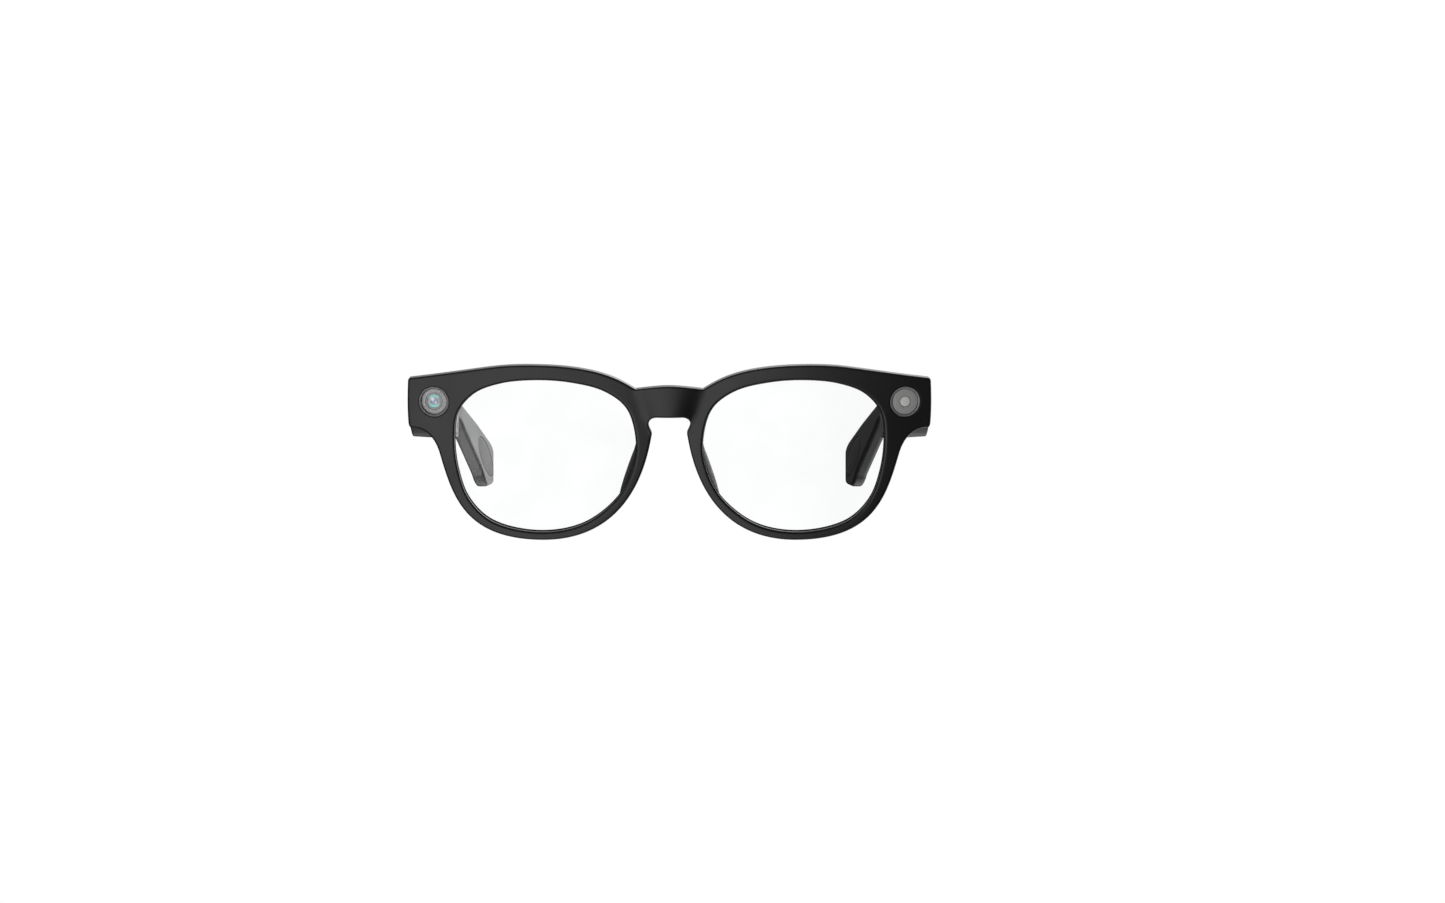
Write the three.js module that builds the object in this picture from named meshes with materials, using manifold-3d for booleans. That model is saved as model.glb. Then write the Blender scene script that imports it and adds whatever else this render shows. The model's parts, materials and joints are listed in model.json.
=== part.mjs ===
// Smart glasses: a front with camera and light windows, and two folding temples that hold the electronics.
// Millimetres, +Z up. The glasses stand on the rims and the temple tips, their front facing -Y, and the
// origin is the middle of the floor under their bounding box. +X is the wearer's left.
import * as THREE from "three";
import { mergeVertices } from "three/addons/utils/BufferGeometryUtils.js";
import Module from "manifold-3d";

const wasm = await Module();
wasm.setup();

// ---- driving dimensions ------------------------------------------------------------------------
const GAP = 0.3; // clearance between pieces that touch on the real object
const FACE_TILT = THREE.MathUtils.degToRad(8); // the front's lean when worn, top forward
const RIM_THICK = 4.8; // front to back of rims, brow and bridge
const BROW_TOP = 24.05; // highest and lowest points of the rims, in the front's own plane
const RIM_LOW = -24.95;
const LENS_MID_X = 36; // middle of each rim
const NASAL_X = 4.95; // half the gap between the rims at the nose
const BRIDGE_LOW = 9.5;
const BRIDGE_TOP = 18.15;
const END_X = 73.9; // outer side of the endpieces
const END_TOP = 20.05;
const END_LOW = 5.84;
const WINDOW = { x: 66.5, z: 13.6, r: 4.4, deep: 9.4 }; // camera and light windows, one on each endpiece

const TEMPLE = { inner: 65.2, outer: 73.5, top: 20.8, low: 4.6 }; // the thick block of each temple
const HINGE = { x: 65.0, y: 15.1, r: 1.7, pin: 0.6, low: 7.4, high: 18.0, knuckle: 3 };
const HINGE_ROOM = 0.45; // clearance round the knuckles
const LEAF = { inner: 61.2, outer: 62.3, front: HINGE.y - 4.2, back: HINGE.y - 0.35 }; // front leaf's plate
const RETURN_INNER = 62.6;
const JOINT_GAP = 0.3; // between the endpiece's return and the temple
const BLOCK_END = 91; // where the temple's thick block stops, measured back from the front
const NECK_Y = 102;
const TIP_END = 147;
const TOE_IN = 0.2035; // the tips run inwards by this much for each millimetre back
const TIP_THICK = 4.3;
const TIP_LOW = -11.1; // underside of the tips at TIP_FOOT_Y
const TIP_FOOT_Y = TIP_END - 5;
const WALL = 1.3;
const COVER_THICK = 1.2;
const CAVITY = { y0: 21, y1: 87, z0: 6.1, z1: 19.3 }; // room for the electronics in each temple

// ---- materials ---------------------------------------------------------------------------------
const finish = (color, roughness, metalness = 0) =>
  new THREE.MeshStandardMaterial({ color, roughness, metalness });
const MATTE_BLACK = finish(0x232323, 0.55);
const SATIN_BLACK = finish(0x1b1b1b, 0.4);
const RUBBER = finish(0x2b2b2b, 0.8);
const STEEL = finish(0x8f9296, 0.35, 1);
const GOLD = finish(0xc9a24a, 0.3, 1);
const BOARD_GREEN = finish(0x1d5a3a, 0.6);
const POUCH_SILVER = finish(0xb9bcc0, 0.45, 0.6);
const POLYIMIDE = finish(0xb5651d, 0.5);
const WINDOW_GREY = finish(0x777777, 0.3);
const CLEAR = new THREE.MeshStandardMaterial({
  color: 0xeef3f4,
  roughness: 0.05,
  metalness: 0,
  transparent: true,
  opacity: 0.25,
});

// ---- solids ------------------------------------------------------------------------------------
function solidOf(geometry) {
  const bare = geometry.index ? geometry.toNonIndexed() : geometry.clone();
  for (const name of Object.keys(bare.attributes)) {
    if (name !== "position") bare.deleteAttribute(name);
  }
  const merged = mergeVertices(bare, 1e-4);
  const triangles = [];
  for (let i = 0; i < merged.index.count; i += 3) {
    const [a, b, c] = merged.index.array.subarray(i, i + 3);
    if (a !== b && b !== c && c !== a) triangles.push(a, b, c);
  }
  const mesh = new wasm.Mesh({
    numProp: 3,
    vertProperties: merged.attributes.position.array,
    triVerts: new Uint32Array(triangles),
  });
  return new wasm.Manifold(mesh);
}

function geometryOf(solid) {
  const mesh = solid.getMesh();
  const geometry = new THREE.BufferGeometry();
  geometry.setAttribute("position", new THREE.BufferAttribute(mesh.vertProperties, 3));
  geometry.setIndex(new THREE.BufferAttribute(mesh.triVerts, 1));
  return geometry;
}

function cut(body, ...tools) {
  return geometryOf(tools.reduce((rest, tool) => rest.subtract(solidOf(tool)), solidOf(body)));
}

function meet(a, b) {
  return geometryOf(solidOf(a).intersect(solidOf(b)));
}

function join(...bodies) {
  return geometryOf(bodies.slice(1).reduce((all, b) => all.add(solidOf(b)), solidOf(bodies[0])));
}

// A shape drawn in (x, z), seen from the front, and made solid from y0 back to y1.
function frontPlate(shape, y0, y1) {
  const geometry = new THREE.ExtrudeGeometry(shape, { depth: y1 - y0, bevelEnabled: false });
  return geometry.rotateX(Math.PI / 2).translate(0, y1, 0);
}

// A shape drawn in (y, z), seen from the side, and made solid from x0 to x1.
const FROM_SIDE = new THREE.Matrix4().makeBasis(
  new THREE.Vector3(0, 1, 0),
  new THREE.Vector3(0, 0, 1),
  new THREE.Vector3(1, 0, 0),
);
function sidePlate(shape, x0, x1, bevel = 0, curveSegments = 8) {
  const geometry = new THREE.ExtrudeGeometry(shape, {
    depth: x1 - x0 - 2 * bevel,
    bevelEnabled: bevel > 0,
    bevelThickness: bevel,
    bevelSize: bevel,
    bevelOffset: -bevel,
    bevelSegments: 1,
    curveSegments,
  });
  return geometry.translate(0, 0, bevel).applyMatrix4(FROM_SIDE).translate(x0, 0, 0);
}

function roundedRect(x0, y0, x1, y1, r) {
  const shape = new THREE.Shape();
  shape.moveTo(x0 + r, y0);
  shape.lineTo(x1 - r, y0);
  shape.absarc(x1 - r, y0 + r, r, -Math.PI / 2, 0);
  shape.lineTo(x1, y1 - r);
  shape.absarc(x1 - r, y1 - r, r, 0, Math.PI / 2);
  shape.lineTo(x0 + r, y1);
  shape.absarc(x0 + r, y1 - r, r, Math.PI / 2, Math.PI);
  shape.lineTo(x0, y0 + r);
  shape.absarc(x0 + r, y0 + r, r, Math.PI, 1.5 * Math.PI);
  return shape;
}

function box(x0, x1, y0, y1, z0, z1) {
  return new THREE.BoxGeometry(x1 - x0, y1 - y0, z1 - z0).translate(
    (x0 + x1) / 2,
    (y0 + y1) / 2,
    (z0 + z1) / 2,
  );
}

// Bodies of revolution about a line along Y through (x, z). The profile lists [radius, y].
function turned(profile, x, z, segments = 28) {
  const points = profile.map(([r, y]) => new THREE.Vector2(r, y));
  if (points[0].x > 0) points.push(points[0].clone());
  return new THREE.LatheGeometry(points, segments).translate(x, 0, z);
}

function disc(r, y0, y1, x, z, segments = 28) {
  return turned([[0, y0], [r, y0], [r, y1], [0, y1]], x, z, segments);
}

function ring(rIn, rOut, y0, y1, x, z) {
  return turned([[rIn, y0], [rOut, y0], [rOut, y1], [rIn, y1]], x, z);
}

function upright(r, z0, z1, x, y, segments = 20) {
  return new THREE.CylinderGeometry(r, r, z1 - z0, segments)
    .rotateX(Math.PI / 2)
    .translate(x, y, (z0 + z1) / 2);
}

// A closed skin through equal rings of points, with a flat or fanned lid on the first and last ring.
function skinned(rings) {
  const count = rings[0].length;
  const positions = rings.flat(2);
  const index = [];
  for (let i = 0; i + 1 < rings.length; i++) {
    for (let j = 0; j < count; j++) {
      const k = (j + 1) % count;
      const [a, b] = [i * count + j, i * count + k];
      const [c, d] = [a + count, b + count];
      index.push(a, b, d, a, d, c);
    }
  }
  for (const [i, turn] of [[0, 1], [rings.length - 1, 0]]) {
    const centre = positions.length / 3;
    for (const axis of [0, 1, 2]) {
      positions.push(rings[i].reduce((sum, p) => sum + p[axis], 0) / count);
    }
    for (let j = 0; j < count; j++) {
      const [a, b] = [i * count + j, i * count + ((j + 1) % count)];
      index.push(...(turn ? [centre, b, a] : [centre, a, b]));
    }
  }
  const geometry = new THREE.BufferGeometry();
  geometry.setAttribute("position", new THREE.Float32BufferAttribute(positions, 3));
  geometry.setIndex(index);
  return geometry;
}

// ---- the front ---------------------------------------------------------------------------------
// How far back the front's face lies at a distance x from its middle: each rim comes furthest
// forward at CREST_X and sweeps back to the endpieces, and the bridge arches forward between them.
const CREST_X = 25;
const SWEEP_RADIUS = 175;
const BRIDGE_X = 8;
const BRIDGE_RISE = 1.7;
function sweep(x) {
  const out = Math.max(Math.abs(x), BRIDGE_X);
  const rim = (out - CREST_X) ** 2 / (2 * SWEEP_RADIUS);
  const arch = Math.abs(x) < BRIDGE_X ? BRIDGE_RISE * (1 - (x / BRIDGE_X) ** 2) : 0;
  return rim - arch;
}

// Standing on a table, the glasses lean back until the tips come down to the level of the rims.
// The rims touch down on their front edge.
const ALONG_X = new THREE.Vector3(1, 0, 0);
const rimFoot = new THREE.Vector3(0, sweep(LENS_MID_X), RIM_LOW).applyAxisAngle(ALONG_X, FACE_TILT);
const STAND_SLOPE = (TIP_LOW - rimFoot.z) / (TIP_FOOT_Y - rimFoot.y);
const STAND_TILT = Math.atan(STAND_SLOPE);

// Bends a piece made flat so that it follows the front's face.
function bent(geometry) {
  const place = geometry.attributes.position;
  for (let i = 0; i < place.count; i++) {
    place.setY(i, place.getY(i) + sweep(place.getX(i)));
  }
  return geometry;
}

const mirrorX = (points) => points.map(([x, z]) => [-x, z]).reverse();

// The lens opening of the +X rim, as seen from the front.
const OPENING = [
  [9.3, 2.3], [11.6, 11.8], [18.2, 17.2], [28.0, 19.8], [38.0, 20.45], [47.5, 19.4], [55.2, 16.2],
  [59.7, 10.6], [60.8, 3.0], [59.9, -6.0], [56.7, -14.1], [50.2, -20.4], [36.5, -23.35],
  [24.0, -20.7], [14.4, -13.0], [10.3, -4.8],
];
const OPENING_STEPS = 48;

// The opening's outline moved outwards (or inwards, if negative) by a distance.
function openingLoop(outwards) {
  const knots = OPENING.map(([x, z]) => new THREE.Vector3(x, z, 0));
  const curve = new THREE.CatmullRomCurve3(knots, true, "centripetal");
  const loop = [];
  for (let i = 0; i < OPENING_STEPS; i++) {
    const point = curve.getPointAt(i / OPENING_STEPS);
    const along = curve.getTangentAt(i / OPENING_STEPS);
    loop.push([point.x - along.y * outwards, point.y + along.x * outwards]);
  }
  return loop;
}

// A lofted solid whose outline at each depth y is the opening moved outwards: steps of [y, outwards].
function openingLoft(steps) {
  return skinned(steps.map(([y, outwards]) => openingLoop(outwards).map(([x, z]) => [x, y, z])));
}

function halfOutline(shape) {
  // From the top of the bridge, over the brow and round the rim, to the underside of the bridge.
  shape.lineTo(9.5, 17.45);
  shape.bezierCurveTo(12.95, 19.38, 18.55, BROW_TOP, 38.5, BROW_TOP);
  shape.bezierCurveTo(48.8, BROW_TOP, 49.5, 23.72, END_X - 0.9, END_TOP);
  shape.quadraticCurveTo(END_X, END_TOP, END_X, END_TOP - 1.2);
  shape.quadraticCurveTo(END_X + 0.35, 12.5, END_X, END_LOW + 1.5);
  shape.quadraticCurveTo(END_X - 0.1, END_LOW, 72.9, END_LOW);
  shape.bezierCurveTo(71.1, 5.93, 66.9, 5.43, 64.86, -0.78);
  shape.bezierCurveTo(61.31, -12.95, 58.3, RIM_LOW, LENS_MID_X, RIM_LOW);
  shape.bezierCurveTo(9.34, RIM_LOW, 5.96, 0, NASAL_X, 4.6);
  shape.bezierCurveTo(4.8, 5.4, 5.8, 6.4, 5.85, 7.5);
  shape.bezierCurveTo(5.9, 8.7, 4.9, BRIDGE_LOW, 3.4, BRIDGE_LOW);
}

const OUTLINE_STEPS = 9;
function frontOutline() {
  const half = new THREE.Shape();
  half.moveTo(0, BRIDGE_TOP);
  half.bezierCurveTo(3, BRIDGE_TOP, 6.5, 17.9, 9.5, 17.45);
  halfOutline(half);
  const right = half.getPoints(OUTLINE_STEPS).map((p) => [p.x, p.y]);
  const points = [...right, ...mirrorX(right)];
  const outline = new THREE.Shape();
  points.forEach(([x, z], i) => (i ? outline.lineTo(x, z) : outline.moveTo(x, z)));
  return outline;
}

// The endpiece's return: the block behind the endpiece that carries the hinge.
function endReturn() {
  const lean = Math.tan(FACE_TILT);
  const rear = (z) => HINGE.y - JOINT_GAP / 2 - (z - WINDOW.z) * lean;
  const side = new THREE.Shape();
  side.moveTo(6.2, 8.2);
  side.lineTo(8.6, 6.9);
  side.lineTo(11.8, TEMPLE.low);
  side.lineTo(rear(TEMPLE.low), TEMPLE.low);
  side.lineTo(rear(TEMPLE.top), TEMPLE.top);
  side.lineTo(6.2, TEMPLE.top - 0.6);
  return sidePlate(side, RETURN_INNER, TEMPLE.outer, 0.9).rotateX(-FACE_TILT);
}

// A slot the width of the hinge, cut out of the endpiece and the temple around the hinge's axis.
function hingeRoom() {
  return upright(HINGE.r + HINGE_ROOM, HINGE.low - 3 * GAP, HINGE.high + 1.3, HINGE.x, HINGE.y);
}

// The front leaf's arms reach the pin past the return's inner rear corner, which is cut away.
function leafRoom() {
  return box(
    HINGE.x - 4,
    HINGE.x,
    HINGE.y - HINGE.r - HINGE_ROOM,
    HINGE.y + 2,
    HINGE.low - GAP,
    HINGE.high + GAP,
  );
}

const onHinge = (geometry) =>
  geometry.translate(0, -HINGE.y, -WINDOW.z).rotateX(FACE_TILT).translate(0, HINGE.y, WINDOW.z);
const inFront = (geometry) => geometry.rotateX(-FACE_TILT);

// The channel along the brow for the ribbon cable, from one window to the other. What lies in it
// follows the same line, and stops a few steps short of its ends.
const BROW_LINE = [
  [0, 13.8], [9, 15.0], [14, 17.9], [22, 20.9], [37, 22.3], [50, 21.2], [60, 18.6], [63.4, 15.2],
];
const BROW_STEPS = 54;
const CHANNEL = { wide: 1.6, deep: 1.5, strip: 0.9, short: 2 };
function browStrip(width, y0, y1, short) {
  const line = [...mirrorX(BROW_LINE).slice(0, -1), ...BROW_LINE];
  const curve = new THREE.CatmullRomCurve3(line.map(([x, z]) => new THREE.Vector3(x, z, 0)));
  const rings = [];
  for (let i = short; i <= BROW_STEPS - short; i++) {
    const point = curve.getPointAt(i / BROW_STEPS);
    const along = curve.getTangentAt(i / BROW_STEPS);
    const [dx, dz] = [(-along.y * width) / 2, (along.x * width) / 2];
    const [x, z, back] = [point.x, point.y, sweep(point.x)];
    rings.push([
      [x - dx, y0 + back, z - dz],
      [x - dx, y1 + back, z - dz],
      [x + dx, y1 + back, z + dz],
      [x + dx, y0 + back, z + dz],
    ]);
  }
  return skinned(rings);
}

// A plan drawn in (x, y), made solid well above and below everything it is combined with.
const TALL = 60;
function standingPlan(points) {
  const plan = new THREE.Shape(points);
  return new THREE.ExtrudeGeometry(plan, { depth: TALL, bevelEnabled: false }).translate(0, 0, -TALL / 2);
}

// The space between the front's face and its back.
function frontSlab() {
  const [face, back] = [[], []];
  const stations = [0, 2.5, 5, BRIDGE_X];
  for (let x = BRIDGE_X + 5; x < END_X - 1; x += 5) stations.push(x);
  stations.push(END_X + 2);
  for (const x of [...stations.slice(1).reverse().map((v) => -v), ...stations]) {
    face.push(new THREE.Vector2(x, sweep(x)));
    back.push(new THREE.Vector2(x, sweep(x) + RIM_THICK));
  }
  return standingPlan([...face, ...back.reverse()]);
}

// A piece and its mirror image in the middle plane.
function bothSides(geometry) {
  const image = (geometry.index ? geometry.toNonIndexed() : geometry.clone()).scale(-1, 1, 1);
  const place = image.attributes.position;
  const [first, second] = [new THREE.Vector3(), new THREE.Vector3()];
  for (let i = 0; i < place.count; i += 3) {
    first.fromBufferAttribute(place, i);
    second.fromBufferAttribute(place, i + 1);
    place.setXYZ(i, ...second);
    place.setXYZ(i + 1, ...first);
  }
  return [geometry, image];
}

function frontFrame() {
  let body = solidOf(meet(frontPlate(frontOutline(), -6, 18), frontSlab()));
  for (const side of bothSides(endReturn())) body = body.add(solidOf(side));
  const groove = openingLoft([[-3, 0], [1.6, 0], [2.5, 1.0], [3.4, 0], [9, 0]]);
  const window = disc(WINDOW.r, -3, WINDOW.deep, WINDOW.x, WINDOW.z, 32);
  const wireWay = box(68.4, 70.4, WINDOW.deep - 1, 22, 11.6, 13.4);
  const tools = [bent(groove), bent(window), wireWay];
  tools.push(inFront(onHinge(hingeRoom())), inFront(onHinge(leafRoom())));
  for (const tool of tools) {
    for (const side of bothSides(tool)) body = body.subtract(solidOf(side));
  }
  const channel = browStrip(CHANNEL.wide, RIM_THICK - CHANNEL.deep, RIM_THICK + 1, 0);
  return geometryOf(body.subtract(solidOf(channel)));
}

// A lens with a bevelled edge that sits in the rim's groove.
function lens() {
  const centre = [LENS_MID_X - 1, -1.5];
  const inner = (y, part) =>
    openingLoop(-0.45).map(([x, z]) => [
      centre[0] + (x - centre[0]) * part,
      y,
      centre[1] + (z - centre[1]) * part,
    ]);
  const edge = (y, outwards) => openingLoop(outwards).map(([x, z]) => [x, y, z]);
  const [y0, y1] = [1.6, 3.4];
  const rings = [inner(y0, 0.4), inner(y0, 0.75), edge(y0, -0.45), edge((y0 + y1) / 2, 0.55)];
  return bent(skinned([...rings, edge(y1, -0.45), inner(y1, 0.75), inner(y1, 0.4)]));
}

// A pad that stands back and outwards from the nasal side of the +X rim. Its ends are small rings.
const NOSE_PAD = { low: -12.5, high: 3.5, steps: 10, end: 0.92, root: 1.2, deep: 5.6, flare: 0.42 };
function nosePad() {
  const rings = [];
  for (let i = 0; i <= NOSE_PAD.steps; i++) {
    const s = NOSE_PAD.end * ((2 * i) / NOSE_PAD.steps - 1);
    const z = THREE.MathUtils.lerp(NOSE_PAD.low, NOSE_PAD.high, (s + 1) / 2);
    const swell = Math.sqrt(1 - s * s);
    const rim = 7.9 + 0.32 * Math.max(0, -z - 1) + 0.012 * z * z;
    const [deep, thick] = [NOSE_PAD.root + NOSE_PAD.deep * swell, 0.7 + 1.2 * swell];
    const y0 = RIM_THICK + GAP + sweep(rim);
    const out = NOSE_PAD.flare * deep;
    rings.push([
      [rim - thick, y0, z],
      [rim + thick, y0, z],
      [rim + thick + out * 0.6, y0 + deep * 0.6, z],
      [rim + thick * 0.5 + out, y0 + deep, z],
      [rim - thick * 0.5 + out, y0 + deep, z],
      [rim - thick + out * 0.4, y0 + deep * 0.6, z],
    ]);
  }
  return skinned(rings);
}

// Window pieces lie in the bore of an endpiece; each follows the slope of the face.
const inWindow = {
  bezel: () =>
    turned([[3.6, 0.25], [4.1, 0.1], [4.1, 2.1], [3.05, 2.1], [3.05, 1.5], [3.6, 1.5]], WINDOW.x, WINDOW.z),
  glass: () => disc(3.3, 0.5, 1.2, WINDOW.x, WINDOW.z),
  barrel: () =>
    turned([[1.8, 1.7], [2.6, 1.5], [2.6, 6.2], [1.2, 6.2], [1.2, 4.0], [1.8, 4.0]], WINDOW.x, WINDOW.z),
  element: () =>
    turned([[0, 1.9], [0.9, 2.15], [1.5, 2.7], [1.5, 3.2], [0, 3.2]], WINDOW.x, WINDOW.z, 20),
  sensor: () => box(WINDOW.x - 2, WINDOW.x + 2, 6.5, 7.3, WINDOW.z - 2, WINDOW.z + 2),
  board: () => disc(4.0, 7.6, 8.4, WINDOW.x, WINDOW.z, 24),
  diffuser: () => ring(1.75, 3.3, 0.5, 1.2, WINDOW.x, WINDOW.z),
  centre: () => turned([[0, 0.45], [1.45, 0.5], [1.45, 4.2], [0, 4.2]], WINDOW.x, WINDOW.z, 20),
  lightGuide: () => ring(1.75, 2.7, 1.5, 6.0, WINDOW.x, WINDOW.z),
  emitter: () => box(WINDOW.x - 1.6, WINDOW.x + 1.6, 6.4, 7.3, WINDOW.z - 1.6, WINDOW.z + 1.6),
};

function hingePart(knuckles, arm) {
  const room = HINGE.pin + 0.25;
  const barrels = knuckles.map(([z0, z1]) => upright(HINGE.r, z0, z1, HINGE.x, HINGE.y));
  const bore = upright(room, HINGE.low - 2, HINGE.high + 2, HINGE.x, HINGE.y);
  return onHinge(cut(join(arm, ...barrels), bore));
}

// The front leaf: two knuckles on an upright plate that is set on the return's inner face.
function frontLeaf() {
  const plate = box(LEAF.inner, LEAF.outer, LEAF.front, LEAF.back, HINGE.low, HINGE.high);
  const arm = (z0, z1) => box(LEAF.inner, HINGE.x, LEAF.back - 1.2, LEAF.back, z0, z1);
  const k1 = [HINGE.low, HINGE.low + HINGE.knuckle];
  const k2 = [HINGE.high - HINGE.knuckle, HINGE.high];
  return hingePart([k1, k2], join(plate, arm(...k1), arm(...k2)));
}

// The temple leaf: one knuckle between the front leaf's two, on a plate inside the temple's front end.
function templeLeaf() {
  const [z0, z1] = [HINGE.low + HINGE.knuckle + GAP, HINGE.high - HINGE.knuckle - GAP];
  const arm = box(HINGE.x + 0.2, HINGE.x + 1.5, HINGE.y, HINGE.y + 3.6, z0, z1);
  return hingePart([[z0, z1]], arm);
}

function hingePin() {
  const head = upright(HINGE.r - 0.3, HINGE.high + GAP, HINGE.high + GAP + 0.6, HINGE.x, HINGE.y, 16);
  const shank = upright(HINGE.pin, HINGE.low - 0.3, HINGE.high + GAP + 0.3, HINGE.x, HINGE.y, 16);
  return onHinge(join(head, shank));
}

// ---- a temple ----------------------------------------------------------------------------------
// All of it is drawn for the +X side, open, and the -X temple is its mirror image.
function templeProfile() {
  const lean = Math.tan(FACE_TILT);
  const front = (z) => HINGE.y + JOINT_GAP / 2 - (z - WINDOW.z) * lean;
  const foot = (y) => TIP_LOW + (y - TIP_FOOT_Y) * STAND_SLOPE;
  const side = new THREE.Shape();
  side.moveTo(front(TEMPLE.low), TEMPLE.low);
  side.lineTo(BLOCK_END - 3, TEMPLE.low);
  side.bezierCurveTo(BLOCK_END + 3, TEMPLE.low, BLOCK_END + 5, 9.4, NECK_Y - 1.4, 9.4);
  side.bezierCurveTo(NECK_Y + 4, 9.4, NECK_Y + 6, 7.2, NECK_Y + 9, 5.2);
  side.lineTo(134, -8.2);
  side.quadraticCurveTo(137, foot(138) + 0.6, 139.5, foot(139.5));
  side.lineTo(TIP_END - 2, foot(TIP_END - 2));
  side.quadraticCurveTo(TIP_END, foot(TIP_END), TIP_END, foot(TIP_END) + 2);
  side.lineTo(TIP_END, -1.6);
  side.quadraticCurveTo(TIP_END - 0.4, 1.4, 141, 3.4);
  side.lineTo(NECK_Y + 6, 13.8);
  side.bezierCurveTo(NECK_Y - 4, 17, BLOCK_END + 2, TEMPLE.top, BLOCK_END - 12, TEMPLE.top);
  side.lineTo(front(TEMPLE.top), TEMPLE.top);
  return side;
}

// The temple's inner face at a distance y back: straight along the block, then thinner and turned in.
const thinning = (y) => THREE.MathUtils.smoothstep(y, BLOCK_END - 4, NECK_Y + 3);
const innerX = (y) => TEMPLE.inner + 0.9 * thinning(y) - TOE_IN * Math.max(0, y - NECK_Y);
const thickness = (y) => THREE.MathUtils.lerp(TEMPLE.outer - TEMPLE.inner, TIP_THICK, thinning(y));

// The space between the temple's inner and outer faces.
function templeSlab() {
  const [inner, outer] = [[], []];
  for (const y of [0, 87, 89.5, 92, 94, 96, 98, 100, 102, 105, TIP_END + 5]) {
    inner.push(new THREE.Vector2(innerX(y), y));
    outer.push(new THREE.Vector2(innerX(y) + thickness(y), y));
  }
  return standingPlan([...outer, ...inner.reverse()]);
}

const COVER = { y0: CAVITY.y0 - 1.2, y1: CAVITY.y1 + 1.2, z0: CAVITY.z0 - 0.6, z1: CAVITY.z1 + 0.6 };
const COVER_R = 2.2;
const BUTTON = { y: 44, long: 11, wide: 3.4, x: 69.6, top: TEMPLE.top + 0.35 };
const SLIDER = { y: 30, long: 5, tall: 2.6, z: 12.7, travel: 1.8 };
const PAD = { y: 136.4, z: -1.6, long: 22, wide: 8.2, slope: -0.52 };
const GRILLE = { y0: 74, y1: 84, x0: 67.4, x1: 71.4 };
const SCREW_Y = [CAVITY.y0 + 1.9, CAVITY.y1 - 1.9];
const SCREW_Z = CAVITY.z0 + 1.9;

// The oval recess and pad on the tip's inner face, drawn level and turned to lie along the tip.
function tipOval(shrink, x0, x1) {
  const oval = new THREE.Shape();
  oval.absellipse(0, 0, PAD.long / 2 - shrink, PAD.wide / 2 - shrink, 0, 2 * Math.PI);
  return sidePlate(oval, x0, x1, 0, 14)
    .rotateX(PAD.slope)
    .rotateZ(Math.atan(TOE_IN))
    .translate(innerX(PAD.y), PAD.y, PAD.z);
}

function grilleBlock(grow, z0, z1) {
  return box(GRILLE.x0 - grow, GRILLE.x1 + grow, GRILLE.y0 - grow, GRILLE.y1 + grow, z0, z1);
}

// Room in the temple's front end for the temple leaf's arm.
function armRoom() {
  const [z0, z1] = [HINGE.low + HINGE.knuckle, HINGE.high - HINGE.knuckle];
  return box(HINGE.x - 2, HINGE.x + 1.8, HINGE.y, HINGE.y + 3.9, z0, z1);
}

function housing(extraCuts) {
  const outside = meet(sidePlate(templeProfile(), 0, 2 * TEMPLE.outer), templeSlab());
  const cavity = roundedRect(CAVITY.y0, CAVITY.z0, CAVITY.y1, CAVITY.z1, 1.6);
  const seat = roundedRect(COVER.y0, COVER.z0, COVER.y1, COVER.z1, COVER_R);
  return cut(
    outside,
    sidePlate(cavity, TEMPLE.inner + 1, TEMPLE.outer - WALL, 0, 4),
    sidePlate(seat, TEMPLE.inner - 1, TEMPLE.inner + COVER_THICK + GAP, 0, 4),
    tipOval(0, -1.5, 0.9),
    onHinge(hingeRoom()),
    onHinge(armRoom()),
    grilleBlock(GAP, TEMPLE.low - 1, CAVITY.z0 + 1),
    ...extraCuts,
  );
}

function innerCover(extraCuts) {
  const outline = roundedRect(COVER.y0 + GAP, COVER.z0 + GAP, COVER.y1 - GAP, COVER.z1 - GAP, COVER_R);
  const holes = SCREW_Y.map((y) => across(0.95, TEMPLE.inner - 1, TEMPLE.inner + 2, y, SCREW_Z));
  return cut(sidePlate(outline, TEMPLE.inner, TEMPLE.inner + COVER_THICK, 0, 4), ...holes, ...extraCuts);
}

// A cylinder along X.
function across(r, x0, x1, y, z, segments = 16) {
  return new THREE.CylinderGeometry(r, r, x1 - x0, segments)
    .rotateZ(-Math.PI / 2)
    .translate((x0 + x1) / 2, y, z);
}

function coverScrew(y) {
  const head = across(0.65, TEMPLE.inner + 0.1, TEMPLE.inner + 0.7, y, SCREW_Z, 12);
  const shank = across(0.4, TEMPLE.inner + 0.5, TEMPLE.inner + 4, y, SCREW_Z, 10);
  const slot = box(TEMPLE.inner, TEMPLE.inner + 0.35, y - 0.4, y + 0.4, SCREW_Z - 0.1, SCREW_Z + 0.1);
  return cut(join(head, shank), slot);
}

// The grille in the temple's underside, with a row of slots.
function grille() {
  const slots = [];
  for (let y = GRILLE.y0 + 1.2; y < GRILLE.y1 - 1; y += 1.6) {
    slots.push(box(GRILLE.x0 + 0.6, GRILLE.x1 - 0.6, y, y + 0.7, TEMPLE.low - 1, TEMPLE.low + 2));
  }
  return cut(grilleBlock(0, TEMPLE.low + 0.1, TEMPLE.low + 0.9), ...slots);
}

// A block between x0 and x1 whose outline, seen from the side, has rounded corners.
const slab = (x0, x1, y0, y1, z0, z1, r = 0.8) =>
  sidePlate(roundedRect(y0, z0, y1, z1, r), x0, x1, 0, 2);

// The capture button's outline, seen from above, grown by a margin and made solid from z0 to z1.
function pill(grow, z0, z1) {
  const [x, y] = [BUTTON.wide / 2 + grow, BUTTON.long / 2 + grow];
  const shape = roundedRect(BUTTON.x - x, BUTTON.y - y, BUTTON.x + x, BUTTON.y + y, x - 0.02);
  const options = { depth: z1 - z0, bevelEnabled: false, curveSegments: 6 };
  return new THREE.ExtrudeGeometry(shape, options).translate(0, 0, z0);
}

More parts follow.
